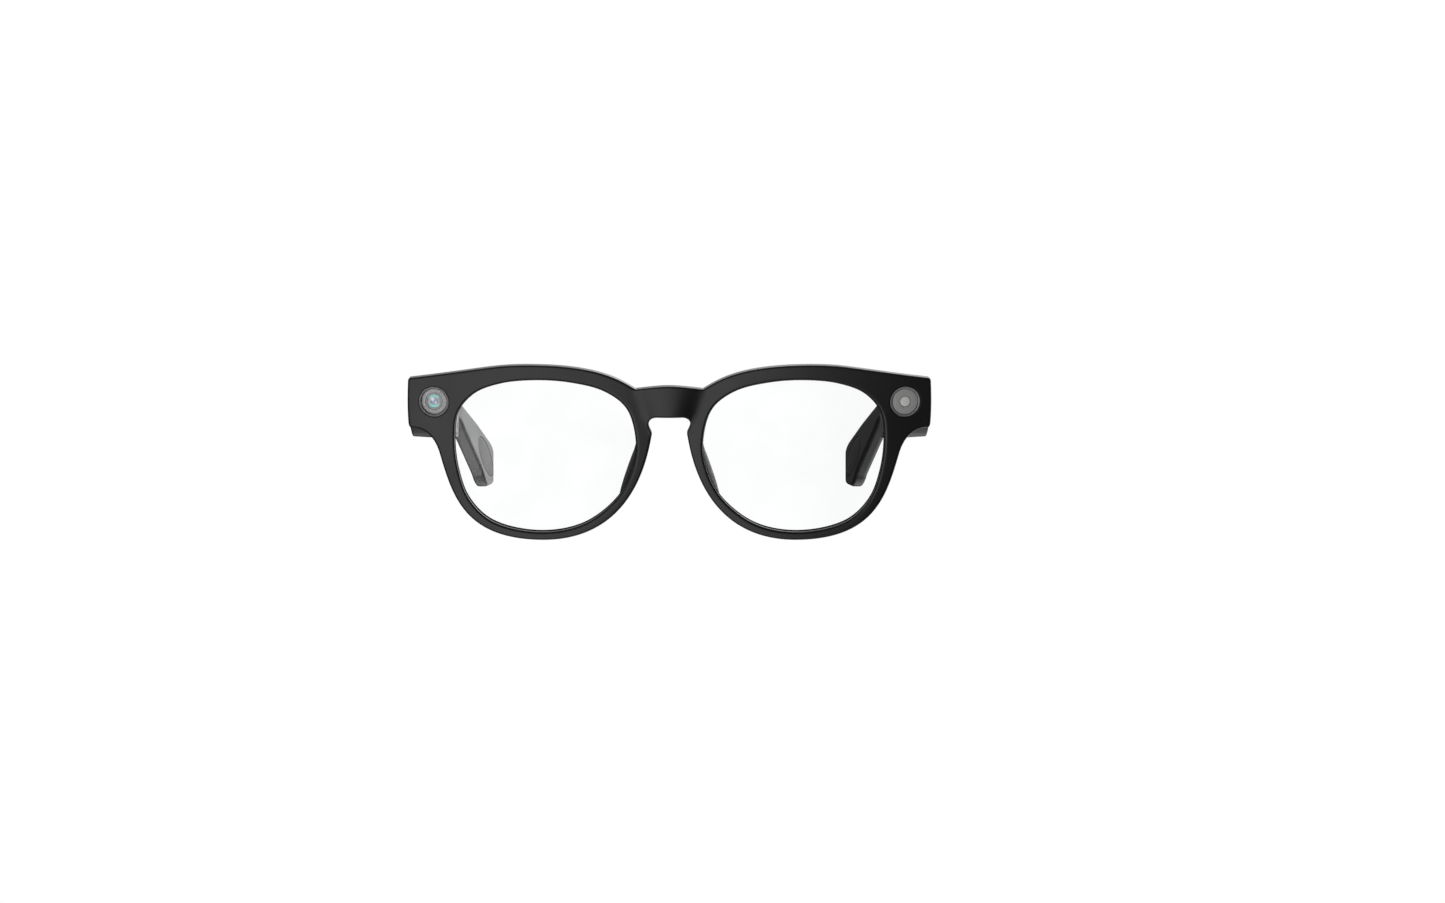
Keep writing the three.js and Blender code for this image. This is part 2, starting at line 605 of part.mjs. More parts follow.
// ---- the assembly ------------------------------------------------------------------------------
function add(group, name, geometry, material) {
  const mesh = new THREE.Mesh(geometry, material);
  mesh.name = name;
  group.add(mesh);
}

const front = new THREE.Group();
front.rotation.x = FACE_TILT;
add(front, "front_frame", frontFrame(), MATTE_BLACK);
const inChannel = (y0, y1) => browStrip(CHANNEL.strip, RIM_THICK + y0, RIM_THICK + y1, CHANNEL.short);
add(front, "brow_ribbon", inChannel(-1.15, -0.9), POLYIMIDE);
add(front, "brow_channel_strip", inChannel(-0.55, 0), SATIN_BLACK);
const bridgeBack = RIM_THICK + sweep(0);
const microphone = box(-1.8, 1.8, bridgeBack + GAP, bridgeBack + 1.2, 10.4, 12.6);
add(front, "bridge_microphone", microphone, STEEL);

// The camera is at the wearer's right, which is -X, and the light at the wearer's left.
const sides = [
  ["right", -1],
  ["left", 1],
];
for (const [side, sign] of sides) {
  const half = new THREE.Group();
  half.scale.x = sign;
  front.add(half);
  add(half, side + "_lens", lens(), CLEAR);
  add(half, side + "_nose_pad", nosePad(), MATTE_BLACK);
  add(half, side + "_window_bezel", bent(inWindow.bezel()), WINDOW_GREY);
  add(half, side + "_window_board", bent(inWindow.board()), BOARD_GREEN);
  if (side === "right") {
    add(half, "camera_cover_glass", bent(inWindow.glass()), CLEAR);
    add(half, "camera_barrel", bent(inWindow.barrel()), SATIN_BLACK);
    add(half, "camera_front_element", bent(inWindow.element()), CLEAR);
    add(half, "camera_sensor", bent(inWindow.sensor()), STEEL);
  } else {
    add(half, "light_diffuser", bent(inWindow.diffuser()), WINDOW_GREY);
    add(half, "light_centre_window", bent(inWindow.centre()), CLEAR);
    add(half, "light_guide", bent(inWindow.lightGuide()), CLEAR);
    add(half, "light_emitter", bent(inWindow.emitter()), STEEL);
  }
}

const worn = new THREE.Group();
worn.add(front);
for (const [side, sign] of sides) {
  const hinge = new THREE.Group();
  hinge.scale.x = sign;
  worn.add(hinge);
  add(hinge, side + "_hinge_front_leaf", frontLeaf(), STEEL);
  add(hinge, side + "_hinge_pin", hingePin(), STEEL);

  const temple = new THREE.Group();
  temple.scale.x = sign;
  worn.add(temple);
  const part = (name, geometry, material) => add(temple, side + "_" + name, geometry, material);
  const isRight = side === "right";
  const buttonHole = pill(GAP, CAVITY.z1 - 1, TEMPLE.top + 1);
  const sliderHole = box(
    TEMPLE.inner - 1,
    TEMPLE.inner + 2,
    SLIDER.y - SLIDER.long / 2 - GAP,
    SLIDER.y + SLIDER.long / 2 + GAP + SLIDER.travel,
    SLIDER.z - SLIDER.tall / 2 - GAP,
    SLIDER.z + SLIDER.tall / 2 + GAP,
  );
  const contactZ = [11, 14.2];
  const contactHoles = contactZ.map((z) => across(1.1, TEMPLE.inner - 1, TEMPLE.inner + 2, 60, z));
  part("temple_housing", housing(isRight ? [buttonHole] : []), MATTE_BLACK);
  part("inner_cover", innerCover(isRight ? contactHoles : [sliderHole]), MATTE_BLACK);
  part("hinge_temple_leaf", templeLeaf(), STEEL);
  part("tip_pad", tipOval(GAP, -0.1, 0.6), RUBBER);
  part("speaker", slab(66.9, 71.9, 73, 85, 8.4, 18.9), SATIN_BLACK);
  part("speaker_grille", grille(), STEEL);
  SCREW_Y.forEach((y, i) => part("cover_screw_" + (i + 1), coverScrew(y), STEEL));
  part("microphone", slab(67.2, 68.4, 23.5, 26.5, 15, 17.4, 0.3), STEEL);
  if (isRight) {
    part("battery", slab(67.0, 70.6, 52, 71, 6.6, 18.8), POUCH_SILVER);
    part("main_board", slab(67.2, 68.0, 28, 50.5, 6.8, 16.6), BOARD_GREEN);
    part("processor_can", slab(68.3, 69.8, 29, 37.5, 7.6, 15.6, 0.4), STEEL);
    part("touch_film", slab(71.4, 71.8, 28, 70, 7.2, 17.2), POLYIMIDE);
    part("button_switch", slab(68.6, 70.6, 42, 46, 17.0, 17.8, 0.2), STEEL);
    contactZ.forEach((z, i) =>
      part("charging_contact_" + (i + 1), across(0.8, TEMPLE.inner, TEMPLE.inner + 1.5, 60, z, 14), GOLD),
    );
    const flangeTop = CAVITY.z1 - GAP;
    const cap = join(pill(0, flangeTop, BUTTON.top), pill(0.8, flangeTop - 0.7, flangeTop));
    add(temple, "capture_button", cap, SATIN_BLACK);
  } else {
    part("battery", slab(67.0, 70.6, 44, 71, 6.6, 18.8), POUCH_SILVER);
    part("radio_board", slab(69.9, 70.7, 28, 42.5, 6.8, 18.6), BOARD_GREEN);
    part("radio_can", slab(68.6, 69.6, 35.5, 42, 7.6, 15.6, 0.4), STEEL);
    part("antenna", slab(71.4, 71.7, 28, 70, 7.2, 18.2), GOLD);
    part("slider_switch_body", slab(68.2, 69.4, 28.6, 34, 10.6, 14.8, 0.3), SATIN_BLACK);
    const [x, y, z] = [TEMPLE.inner, SLIDER.y, SLIDER.z];
    const [halfY, halfZ] = [SLIDER.long / 2, SLIDER.tall / 2];
    const cap = join(
      box(x - 0.4, x + 1.6, y - halfY, y + halfY, z - halfZ, z + halfZ),
      box(x + 1.6, x + 2.4, y - halfY - 1, y + halfY + 1, z - halfZ - 1, z + halfZ + 1),
    );
    add(temple, "power_slider", cap, SATIN_BLACK);
  }
}

// Stand the glasses up and put the origin under the middle of their box.
worn.rotation.x = -STAND_TILT;
const standing = new THREE.Group();
standing.add(worn);
standing.updateMatrixWorld(true);
const extent = new THREE.Box3().setFromObject(standing, true);
standing.position.set(
  -(extent.min.x + extent.max.x) / 2,
  -(extent.min.y + extent.max.y) / 2,
  -extent.min.z,
);

const glasses = new THREE.Group();
glasses.add(standing);
export default glasses;
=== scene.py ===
import json
import math

import bmesh
import bpy
from mathutils import Matrix, Vector
from mathutils.geometry import delaunay_2d_cdt
from mathutils.kdtree import KDTree


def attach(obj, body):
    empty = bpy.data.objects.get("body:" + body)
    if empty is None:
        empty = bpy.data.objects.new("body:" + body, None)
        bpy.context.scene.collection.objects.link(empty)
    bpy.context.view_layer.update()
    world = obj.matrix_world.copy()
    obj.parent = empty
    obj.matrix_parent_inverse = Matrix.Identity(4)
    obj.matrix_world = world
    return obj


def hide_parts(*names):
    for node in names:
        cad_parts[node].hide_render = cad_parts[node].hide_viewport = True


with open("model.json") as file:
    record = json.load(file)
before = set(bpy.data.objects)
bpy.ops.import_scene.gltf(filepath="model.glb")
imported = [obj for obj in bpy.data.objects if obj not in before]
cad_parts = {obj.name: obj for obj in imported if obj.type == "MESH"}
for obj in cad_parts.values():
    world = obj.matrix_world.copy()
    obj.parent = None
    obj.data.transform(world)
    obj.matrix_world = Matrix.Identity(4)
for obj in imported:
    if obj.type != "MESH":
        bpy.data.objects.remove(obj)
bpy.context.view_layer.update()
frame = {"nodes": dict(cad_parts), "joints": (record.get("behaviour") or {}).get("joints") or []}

# ---- where things are --------------------------------------------------------------------------
# Pieces are drawn in millimetres in one of two frames: WORN has the temples level and the front at
# y = 0, and FRONT lies in the front's own plane, which leans forward. Both end up in the row's frame.
MM = 0.001
JOINTS = {joint["name"]: joint for joint in frame["joints"]}
fold_axis = Vector(JOINTS["left_temple_fold"]["axis"])
press_axis = Vector(JOINTS["capture_button_press"]["axis"])
STAND_TILT = math.atan2(-press_axis.y, -press_axis.z)
FACE_TILT = STAND_TILT + math.atan2(-fold_axis.y, fold_axis.z)
HINGE = Vector((65.0, 15.1, 13.6))
WORN = (
    Matrix.Translation(Vector(JOINTS["left_temple_fold"]["pos_m"]))
    @ Matrix.Rotation(-STAND_TILT, 4, "X")
    @ Matrix.Scale(MM, 4)
    @ Matrix.Translation(-HINGE)
)
FRONT = WORN @ Matrix.Rotation(FACE_TILT, 4, "X")
# Turns what is drawn upright at the hinge so that it leans with the front.
ON_HINGE = Matrix.Translation(HINGE) @ Matrix.Rotation(FACE_TILT, 4, "X") @ Matrix.Translation(-HINGE)
SIDES = ("right", "left")  # the wearer's; the right one is drawn as the mirror image of the left

# ---- dimensions, millimetres -------------------------------------------------------------------
# The front, drawn flat: x from the middle, z from the line that it leans about, depth along y.
RIM_THICK = 4.8
BROW_TOP, RIM_LOW = 24.25, -25.35
BRIDGE_TOP, BRIDGE_LOW = 18.45, 9.5
END_X, END_TOP, END_LOW = 73.9, 20.05, 5.84  # an endpiece's outer side, top and underside
EDGE, OPENING_EDGE, WINDOW_EDGE = 0.6, 0.75, 0.12  # rounding of the front's edges
CREST_X, SWEEP_RADIUS = 25, 175  # where each rim comes furthest forward, and its curve from there
BRIDGE_RISE = 1.7  # how far the bridge arches forward between its creases
CREASE_X, CREASE_Z, CREASE_LEAN, CREASE_SOFT = 5.9, 7.5, 0.33, 0.8
NET, GUARD = 1.1, 0.4  # spacing of the points on the faces, and of the first row to an edge
CHANNEL = 1.6  # width of the ribbon cable's channel along the brow
BROW_LINE = (
    (0, 13.8), (9, 15.0), (14, 17.9), (22, 20.9), (37, 22.3), (50, 21.2), (60, 18.6), (63.4, 15.2),
)
OPENING = (
    (9.4, 2.3), (11.95, 11.8), (18.3, 16.85), (28.0, 19.4), (38.0, 20.0), (47.5, 18.95), (55.0, 16.0),
    (59.6, 10.6), (60.65, 3.0), (59.65, -6.0), (56.6, -14.1), (50.1, -20.2), (36.5, -23.05),
    (24.0, -20.6), (14.4, -13.0), (10.3, -4.8),
)
GROOVE_Y, GROOVE_HALF, GROOVE_DEEP = 2.5, 1.0, 1.0  # the lens groove's middle, half width and depth
LENS_HALF = 0.82
LENS_DOME, LENS_MIDDLE, LENS_REACH = 0.9, (35, -1.5), (26.2, 22.3)
PAD_ROOT, PAD_DEEP, PAD_FLARE = 2.4, 5.8, 0.325  # how a nose pad stands back and turns outwards
WINDOW_X, WINDOW_Z, WINDOW_R = 66.5, 13.47, 4.38

# The hinges.
HINGE_R, PIN_R, HINGE_LOW, HINGE_HIGH = 1.7, 0.6, 7.4, 18.0
HINGE_SCREW_Z = (10.1, 15.3)
JOINT_GAP, HINGE_CLEAR = 0.3, 0.45

# The temples, in the worn frame: y is the distance behind the front.
INNER, OUTER, TOP, LOW = 65.2, 73.5, 20.8, 4.3  # the housings' sides, top and underside
CORNER, TIP_CORNER = 0.5, 1.1
DRAFT, DRAFT_FROM = 0.16, 6.6  # the outer sides lean in below this height
BLOCK_END, NECK_Y, TIP_END = 91, 102, 147
TIP_THICK = 4.0
TIP_LOW = -11.1
TOE_IN = 0.195  # the tips' slope towards the head
UNDER_LIFT = 1.3  # the tips' underside rises this much from its outer to its inner edge
LIFT_FADE = (130, 139)  # and levels off between these, ahead of the foot
STAND_SLOPE, LEAN = math.tan(STAND_TILT), math.tan(FACE_TILT)
PAD_Y, PAD_Z, PAD_LONG, PAD_WIDE, PAD_SLOPE, PAD_GAP = 136.4, -1.6, 22, 8.2, -0.52, 0.28
COVER = (19.8, 88.2, 5.5, 19.9)  # y0, y1, z0, z1
COVER_DEEP = 1.2
CAVITY = (21, 87, 6.1, 19.3)  # y0, y1, z0, z1
SCREW_AT = ((22.9, 8.0), (85.1, 8.0))
CONTACT_AT = ((60, 11.0), (60, 14.2))
GRILLE = (67.4, 71.4, 74, 84)  # x0, x1, y0, y1
BUTTON_X, BUTTON_Y, BUTTON_LONG, BUTTON_WIDE, CAP_TOP = 69.6, 44, 11, 3.4, 21.15
SLIDER_Y, SLIDER_Z, SLIDER_LONG, SLIDER_TALL, SLIDER_TRAVEL = 30, 12.7, 5, 2.6, 1.8

# The studio.
# (azimuth, elevation, inner, outer, strength) of each soft box, in degrees round the object
SOFTBOXES = (
    (-22, -10, 18, 42, 1.6),
    (142, 2, 20, 46, 1.85),
    (150, -68, 17, 27, 2.1),
    (180, 45, 15, 60, 1.0),
)
SKY_BASE = 0.06
BACKDROP = 1.002
WHITE = (1, 1, 1, 1)
FLOOR_LOW, FLOOR_REACH = -0.0006, 6  # metres; the floor lies just clear of the rims
CAMERA_AWAY, FOCAL_LENGTH, SENSOR_WIDTH = 900, 79.77, 36  # millimetres
SHIFT_X = 0.03668  # puts the glasses a little left of the picture's middle


def ramp(value, low, high):
    t = min(1, max(0, (value - low) / (high - low)))
    return t * t * (3 - 2 * t)


def mix(a, b, t):
    return a + (b - a) * t


# ---- materials ---------------------------------------------------------------------------------
def feed(tree, node, inputs):
    """Gives a node's inputs their values: a socket is linked, anything else is set."""
    for key, value in inputs.items():
        if isinstance(value, bpy.types.NodeSocket):
            tree.links.new(value, node.inputs[key])
        else:
            node.inputs[key].default_value = value


def add(tree, kind, inputs=None, **settings):
    node = tree.nodes.new("ShaderNode" + kind)
    for key, value in settings.items():
        setattr(node, key, value)
    feed(tree, node, inputs or {})
    return node


def new_material(name):
    material = bpy.data.materials.new(name)
    material.use_nodes = True
    tree = material.node_tree
    return material, tree, tree.nodes["Principled BSDF"]


def grain(tree, scale, detail, stretch=(1, 1, 1)):
    """Noise in the piece's own coordinates; scale is in features per metre."""
    where = add(tree, "TexCoord").outputs["Object"]
    if stretch != (1, 1, 1):
        where = add(tree, "Mapping", {"Vector": where, "Scale": stretch}).outputs["Vector"]
    return add(tree, "TexNoise", {"Vector": where, "Scale": scale, "Detail": detail}).outputs[0]


def stretched(tree, value, low, high, to_low=0.0, to_high=1.0):
    inputs = {"Value": value, "From Min": low, "From Max": high, "To Min": to_low, "To Max": to_high}
    return add(tree, "MapRange", inputs).outputs["Result"]


def shaded(tree, value, stops):
    """Colours along a value: (position, colour) pairs."""
    node = add(tree, "ValToRGB", {"Fac": value})
    elements = node.color_ramp.elements
    for element, (position, colour) in zip(elements, (stops[0], stops[-1])):
        element.position = position
        element.color = (*colour, 1)
    for position, colour in stops[1:-1]:
        elements.new(position).color = (*colour, 1)
    return node.outputs["Color"]


def uneven(tree, noise, low, high):
    return stretched(tree, noise, 0.3, 0.7, low, high)


def tint(tree, noise, dark, light):
    return shaded(tree, noise, ((0.35, dark), (0.65, light)))


def bump(tree, noise, strength, depth):
    inputs = {"Height": noise, "Strength": strength, "Distance": depth}
    return add(tree, "Bump", inputs).outputs["Normal"]


def either(tree, share, first, second):
    """The first shader where share is 0, and the second where it is 1."""
    inputs = {"Fac": share, 1: first.outputs[0], 2: second.outputs[0]}
    return add(tree, "MixShader", inputs).outputs["Shader"]


def moulding(name, dark, light, rough, texture=2600, depth=0.000012):
    """Moulded plastic: fine spark-eroded texture, handling haze in broad patches."""
    material, tree, shader = new_material(name)
    broad = grain(tree, 55, 2)
    feed(tree, shader, {
        "Base Color": tint(tree, broad, dark, light),
        "Roughness": uneven(tree, broad, rough - 0.04, rough + 0.05),
        "Normal": bump(tree, grain(tree, texture, 4), 0.35, depth),
    })
    return material


def metal(name, dark, light, rough, stretch=(1, 1, 14)):
    """Drawn or machined metal: fine lines along one direction."""
    material, tree, shader = new_material(name)
    lines = grain(tree, 900, 2, stretch)
    feed(tree, shader, {
        "Metallic": 1.0,
        "Base Color": tint(tree, lines, dark, light),
        "Roughness": uneven(tree, lines, rough - 0.06, rough + 0.08),
        "Normal": bump(tree, lines, 0.2, 0.000008),
    })
    return material


def clear(name, colour, smudge, straight):
    """A thin clear wall: light goes straight through, and it mirrors a little, more at a glance."""
    material, tree, shader = new_material(name)
    tree.nodes.remove(shader)
    haze = grain(tree, 90, 2)
    dull = tuple(0.985 * c for c in colour)
    through = add(tree, "BsdfTransparent", {"Color": tint(tree, haze, dull, colour)})
    mirror = add(tree, "BsdfGlossy", {"Roughness": uneven(tree, haze, smudge * 0.5, smudge * 2.5)})
    glance = add(tree, "LayerWeight").outputs["Facing"]
    steep = add(tree, "Math", {0: glance, 1: 5}, operation="POWER").outputs["Value"]
    share = stretched(tree, steep, 0, 1, straight)
    feed(tree, tree.nodes["Material Output"], {"Surface": either(tree, share, through, mirror)})
    return material


def painted_reflection_element(name, centre, reach):
    """The camera's front element, with its reflections painted on: coloured anti-reflection bands, cyan
    above and below the pupil.
    """
    material, tree, shader = new_material(name)

    def vector_math(operation, value, other):
        return add(tree, "VectorMath", {0: value, 1: other}, operation=operation).outputs

    where = add(tree, "TexCoord").outputs["Object"]
    from_centre = vector_math("SUBTRACT", where, centre)["Vector"]
    flat = vector_math("MULTIPLY", from_centre, (1 / reach, 0, 1 / reach))["Vector"]
    radius = vector_math("DISTANCE", flat, (0, 0, 0))["Value"]
    upward = add(tree, "SeparateXYZ", {"Vector": flat}).outputs["Z"]
    height = add(tree, "Math", {0: upward}, operation="ABSOLUTE").outputs["Value"]
    pupil = (0.13, 0.14, 0.14)
    # Painted reflection: these rings and bands of colour stand in for the glass's coloured reflections,
    # darker in the middle.
    sides = shaded(tree, radius, (
        (0.0, pupil), (0.3, (0.22, 0.3, 0.55)), (0.48, (0.16, 0.17, 0.18)),
        (0.72, (0.5, 0.52, 0.62)), (0.9, (0.36, 0.36, 0.38)), (1.0, (0.3, 0.3, 0.3)),
    ))
    bands = shaded(tree, radius, (
        (0.0, pupil), (0.3, (0.32, 0.45, 0.85)), (0.48, (0.3, 0.42, 0.45)),
        (0.68, (0.3, 0.85, 0.8)), (0.92, (0.34, 0.85, 0.78)), (1.0, (0.3, 0.28, 0.28)),
    ))

    def blended(share, a, b):
        inputs = {"Factor": share, "A": a, "B": b}
        return add(tree, "Mix", inputs, data_type="RGBA").outputs["Result"]

    colour = blended(stretched(tree, height, 0.3, 0.6), sides, bands)
    # Painted highlights: two soft pale spots stand in for glints of light on the glass.
    painted_glints = ((-0.24, 0.3, 0.36, (0.85, 0.86, 0.88, 1)), (0.24, -0.2, 0.2, (0.75, 0.85, 0.95, 1)))
    for x, z, size, painted_glint in painted_glints:
        away = vector_math("DISTANCE", flat, (x, 0, z))["Value"]
        colour = blended(stretched(tree, away, size * 0.5, size, 1, 0), colour, painted_glint)
    feed(tree, shader, {
        "Base Color": colour,
        # Painted glow: the element gives off its own colour, though it is no lamp.
        "Emission Color": colour,
        "Emission Strength": 0.32,
        "Roughness": uneven(tree, grain(tree, 2600, 2), 0.1, 0.18),
        "Coat Weight": 1.0,
        "Coat Roughness": 0.03,
    })
    return material


def grey(level):
    return (level, level, level)


BLACK = moulding("moulded_black", (0.0038, 0.0038, 0.004), (0.0055, 0.0055, 0.0057), 0.4)
TEMPLE_BLACK = moulding(
    "temple_black", (0.0042, 0.0042, 0.0044), (0.006, 0.006, 0.0062), 0.4, depth=0.000006
)
SATIN = moulding("satin_black", (0.004, 0.004, 0.0042), (0.006, 0.006, 0.0062), 0.3, 3400, 0.000006)
PAD_RUBBER = moulding("inlaid_pad", grey(0.014), grey(0.019), 0.5, 1800, 0.00002)
GREY_RING = moulding("window_grey", (0.25, 0.25, 0.252), (0.28, 0.28, 0.282), 0.34, 3000, 0.000006)
PALE_RING = moulding("window_pale", grey(0.47), grey(0.52), 0.3, 3000, 0.000005)
FROST = moulding("frosted_light_ring", (0.41, 0.41, 0.405), (0.45, 0.45, 0.445), 0.38, 2200, 0.00001)
CENTRE = moulding("light_centre", (0.82, 0.82, 0.79), (0.88, 0.88, 0.85), 0.25, 2000, 0.000008)
STEEL = metal("hinge_steel", (0.28, 0.28, 0.29), (0.42, 0.42, 0.44), 0.34)
GOLD = metal("contact_gold", (0.62, 0.42, 0.16), (0.78, 0.56, 0.26), 0.28, (8, 1, 1))
BOARD = moulding("solder_mask", (0.008, 0.05, 0.022), (0.014, 0.08, 0.036), 0.35, 900, 0.00003)
CHIP = moulding("chip_epoxy", (0.012, 0.012, 0.013), (0.02, 0.02, 0.021), 0.5, 2400, 0.00001)
POUCH = metal("battery_pouch", (0.4, 0.4, 0.42), (0.52, 0.52, 0.54), 0.4, (3, 1, 3))
AMBER = moulding("polyimide", (0.3, 0.12, 0.015), (0.4, 0.17, 0.03), 0.35, 1500, 0.000008)
LENS_EDGE = moulding("ground_lens_edge", grey(0.006), grey(0.01), 0.5, 2600, 0.00001)
LENS = clear("lens_clear", (0.995, 0.998, 0.998), 0.012, 0.012)
COVER_GLASS = clear("window_glass", grey(0.95), 0.02, 0.04)


# ---- building in mesh code ---------------------------------------------------------------------
# Everything is made and cut in millimetres, and put in its place in the row's frame at the end.
def skin(rings, lids=True):
    """Quads through equal closed rings of points, closed at both ends unless lids is False."""
    bm = bmesh.new()
    loops = [[bm.verts.new(p) for p in ring] for ring in rings]
    count = len(rings[0])
    for a, b in zip(loops, loops[1:]):
        for i in range(count):
            j = (i + 1) % count
            bm.faces.new((a[i], a[j], b[j], b[i]))
    if lids:
        bm.faces.new(reversed(loops[0]))
        bm.faces.new(loops[-1])
    bmesh.ops.recalc_face_normals(bm, faces=bm.faces)
    return bm


def move(bm, matrix):
    bmesh.ops.transform(bm, matrix=matrix, verts=bm.verts)
    return bm


def mirror(bm):
    move(bm, Matrix.Scale(-1, 4, (1, 0, 0)))
    bmesh.ops.reverse_faces(bm, faces=bm.faces)
    return bm


def sheared(bm):
    """Follows the front's face, for a piece drawn on a flat front."""
    for vert in bm.verts:
        vert.co.y += sweep(vert.co.x, vert.co.z)
    return bm


def merged(parts):
    whole = bmesh.new()
    for bm in parts:
        mesh = bpy.data.meshes.new("part")
        bm.to_mesh(mesh)
        whole.from_mesh(mesh)
        bpy.data.meshes.remove(mesh)
        bm.free()
    return whole


def solid(bm, name="piece"):
    mesh = bpy.data.meshes.new(name)
    bm.to_mesh(mesh)
    bm.free()
    obj = bpy.data.objects.new(name, mesh)
    bpy.context.scene.collection.objects.link(obj)
    return obj


def combine(obj, tools, operation="DIFFERENCE"):
    """Cuts closed tools from a piece, or joins them to it, one after another."""
    for bm in tools:
        tool = solid(bm, "tool")
        step = obj.modifiers.new("combine", "BOOLEAN")
        step.operation = operation
        step.solver = "EXACT"
        step.object = tool
        bpy.context.view_layer.update()
        graph = bpy.context.evaluated_depsgraph_get()
        made = bpy.data.meshes.new_from_object(obj.evaluated_get(graph))
        obj.modifiers.clear()
        old, obj.data = obj.data, made
        bpy.data.meshes.remove(old)
        bpy.data.objects.remove(tool)
    return obj


def place(obj, name, matrix, body, material, nodes=(), sharp=35, mirrored=False):
    """The end of every piece: its place, finish and shading, what it rides on and stands for."""
    if isinstance(obj, bmesh.types.BMesh):
        obj = solid(obj)
    mesh = obj.data
    if mirrored:
        mesh.transform(Matrix.Scale(-1, 4, (1, 0, 0)))
        mesh.flip_normals()
    mesh.transform(matrix)
    obj.name = name
    mesh.name = name
    mesh.materials.clear()
    mesh.materials.append(material)
    mesh.shade_smooth()
    mesh.set_sharp_from_angle(angle=math.radians(sharp))
    even = obj.modifiers.new("even", "WEIGHTED_NORMAL")
    even.keep_sharp = True
    even.weight = 60
    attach(obj, body)
    if nodes:
        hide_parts(*nodes)
    return obj


def paired(obj, side, name, matrix, body, material, node, sharp=35):
    """Places one of a pair, and says which of the two CAD nodes it stands for."""
    nodes = [side + "_" + node]
    return place(obj, side + "_" + name, matrix, body, material, nodes, sharp, side == "right")


# ---- outlines ----------------------------------------------------------------------------------
def bezier(p0, p1, p2, p3, steps):
    points = []
    for i in range(1, steps + 1):
        t = i / steps
        a, b, c, d = (1 - t) ** 3, 3 * t * (1 - t) ** 2, 3 * t * t * (1 - t), t**3
        points.append(tuple(a * p0[k] + b * p1[k] + c * p2[k] + d * p3[k] for k in (0, 1)))
    return points


def quadratic(p0, p1, p2, steps):
    c1 = tuple(mix(p0[k], p1[k], 2 / 3) for k in (0, 1))
    c2 = tuple(mix(p2[k], p1[k], 2 / 3) for k in (0, 1))
    return bezier(p0, c1, c2, p2, steps)


def spline(knots, steps, closed=True):
    """Centripetal Catmull-Rom curve through knots."""
    knots = [Vector(k) for k in knots]
    count = len(knots)
    if not closed:
        knots = [2 * knots[0] - knots[1], *knots, 2 * knots[-1] - knots[-2]]
    spans = range(count) if closed else range(1, count)
    loop = []
    for i in spans:
        before, start, end, after = (knots[(i + k) % len(knots)] for k in (-1, 0, 1, 2))
        d0, d1, d2 = (math.sqrt((b - a).length) for a, b in ((before, start), (start, end), (end, after)))
        leave = ((start - before) / d0 - (end - before) / (d0 + d1)) * d1 + (end - start)
        arrive = (end - start) - ((after - start) / (d1 + d2) - (after - end) / d2) * d1
        for s in range(steps):
            u = s / steps
            loop.append(
                start * (2 * u**3 - 3 * u * u + 1)
                + leave * (u**3 - 2 * u * u + u)
                + end * (3 * u * u - 2 * u**3)
                + arrive * (u**3 - u * u)
            )
    if not closed:
        loop.append(knots[-2])
    return [tuple(p) for p in loop]


def oval(half_x, half_y, x=0, y=0, segments=96):
    turn = [2 * math.pi * i / segments for i in range(segments)]
    return [(x + half_x * math.cos(a), y + half_y * math.sin(a)) for a in turn]


def circle(r, x, y, segments=96):
    return oval(r, r, x, y, segments)


def rounded_rect(x0, y0, x1, y1, r, steps=6, flats=0):
    """Counter-clockwise, with extra points along its straight sides if flats is more than 0."""
    corners = ((x1 - r, y0 + r, -90), (x1 - r, y1 - r, 0), (x0 + r, y1 - r, 90), (x0 + r, y0 + r, 180))
    points = []
    for cx, cy, start in corners:
        for i in range(steps + 1):
            a = math.radians(start + 90 * i / steps)
            points.append((cx + r * math.cos(a), cy + r * math.sin(a)))
    if not flats:
        return points
    filled = []
    for i, here in enumerate(points):
        filled.append(here)
        if i % (steps + 1) == steps:
            ahead = points[(i + 1) % len(points)]
            for k in range(1, flats + 1):
                t = k / (flats + 1)
                filled.append((mix(here[0], ahead[0], t), mix(here[1], ahead[1], t)))
    return filled


def centred(x, y, half_x, half_y, r, steps):
    return rounded_rect(x - half_x, y - half_y, x + half_x, y + half_y, r, steps)


def inset(loop, distance):
    """A counter-clockwise loop moved inwards, or outwards if the distance is negative."""
    moved = []
    for i, (x, y) in enumerate(loop):
        (ax, ay), (bx, by) = loop[i - 1], loop[(i + 1) % len(loop)]
        before = Vector((x - ax, y - ay)).normalized()
        after = Vector((bx - x, by - y)).normalized()
        along = (before + after).normalized()
        reach = distance / max(0.5, along.dot(after))
        moved.append((x - along.y * reach, y + along.x * reach))
    return moved


def fillet(radius, steps=4):
    """(inset, depth) pairs of a quarter round, from the face to the side."""
    turn = [math.radians(90 * i / steps) for i in range(steps + 1)]
    return [(radius * (1 - math.sin(a)), radius * (1 - math.cos(a))) for a in turn]


def slab(loop, low, high, axis, edge=0.2, steps=3):
    """A plate with rounded edges: a counter-clockwise loop made solid from low to high on an axis."""
    levels = [(d, low + h) for d, h in fillet(edge, steps)]
    levels += [(d, high - h) for d, h in reversed(fillet(edge, steps))]
    place_point = {
        "x": lambda a, b, level: (level, a, b),
        "y": lambda a, b, level: (a, level, b),
        "z": lambda a, b, level: (a, b, level),
    }[axis]
    return skin([[place_point(a, b, level) for a, b in inset(loop, d)] for d, level in levels])


def upright(r, z0, z1, x, y, edge=0.12):
    return slab(circle(r, x, y, 48), z0, z1, "z", edge, 2)


def across(r, x0, x1, y, z, edge=0.1):
    return slab(circle(r, y, z, 40), x0, x1, "x", edge, 2)


def block(x0, x1, y0, y1, z0, z1, r=0.2, edge=0.12):
    return slab(rounded_rect(x0, y0, x1, y1, r, 4), z0, z1, "z", edge, 2)


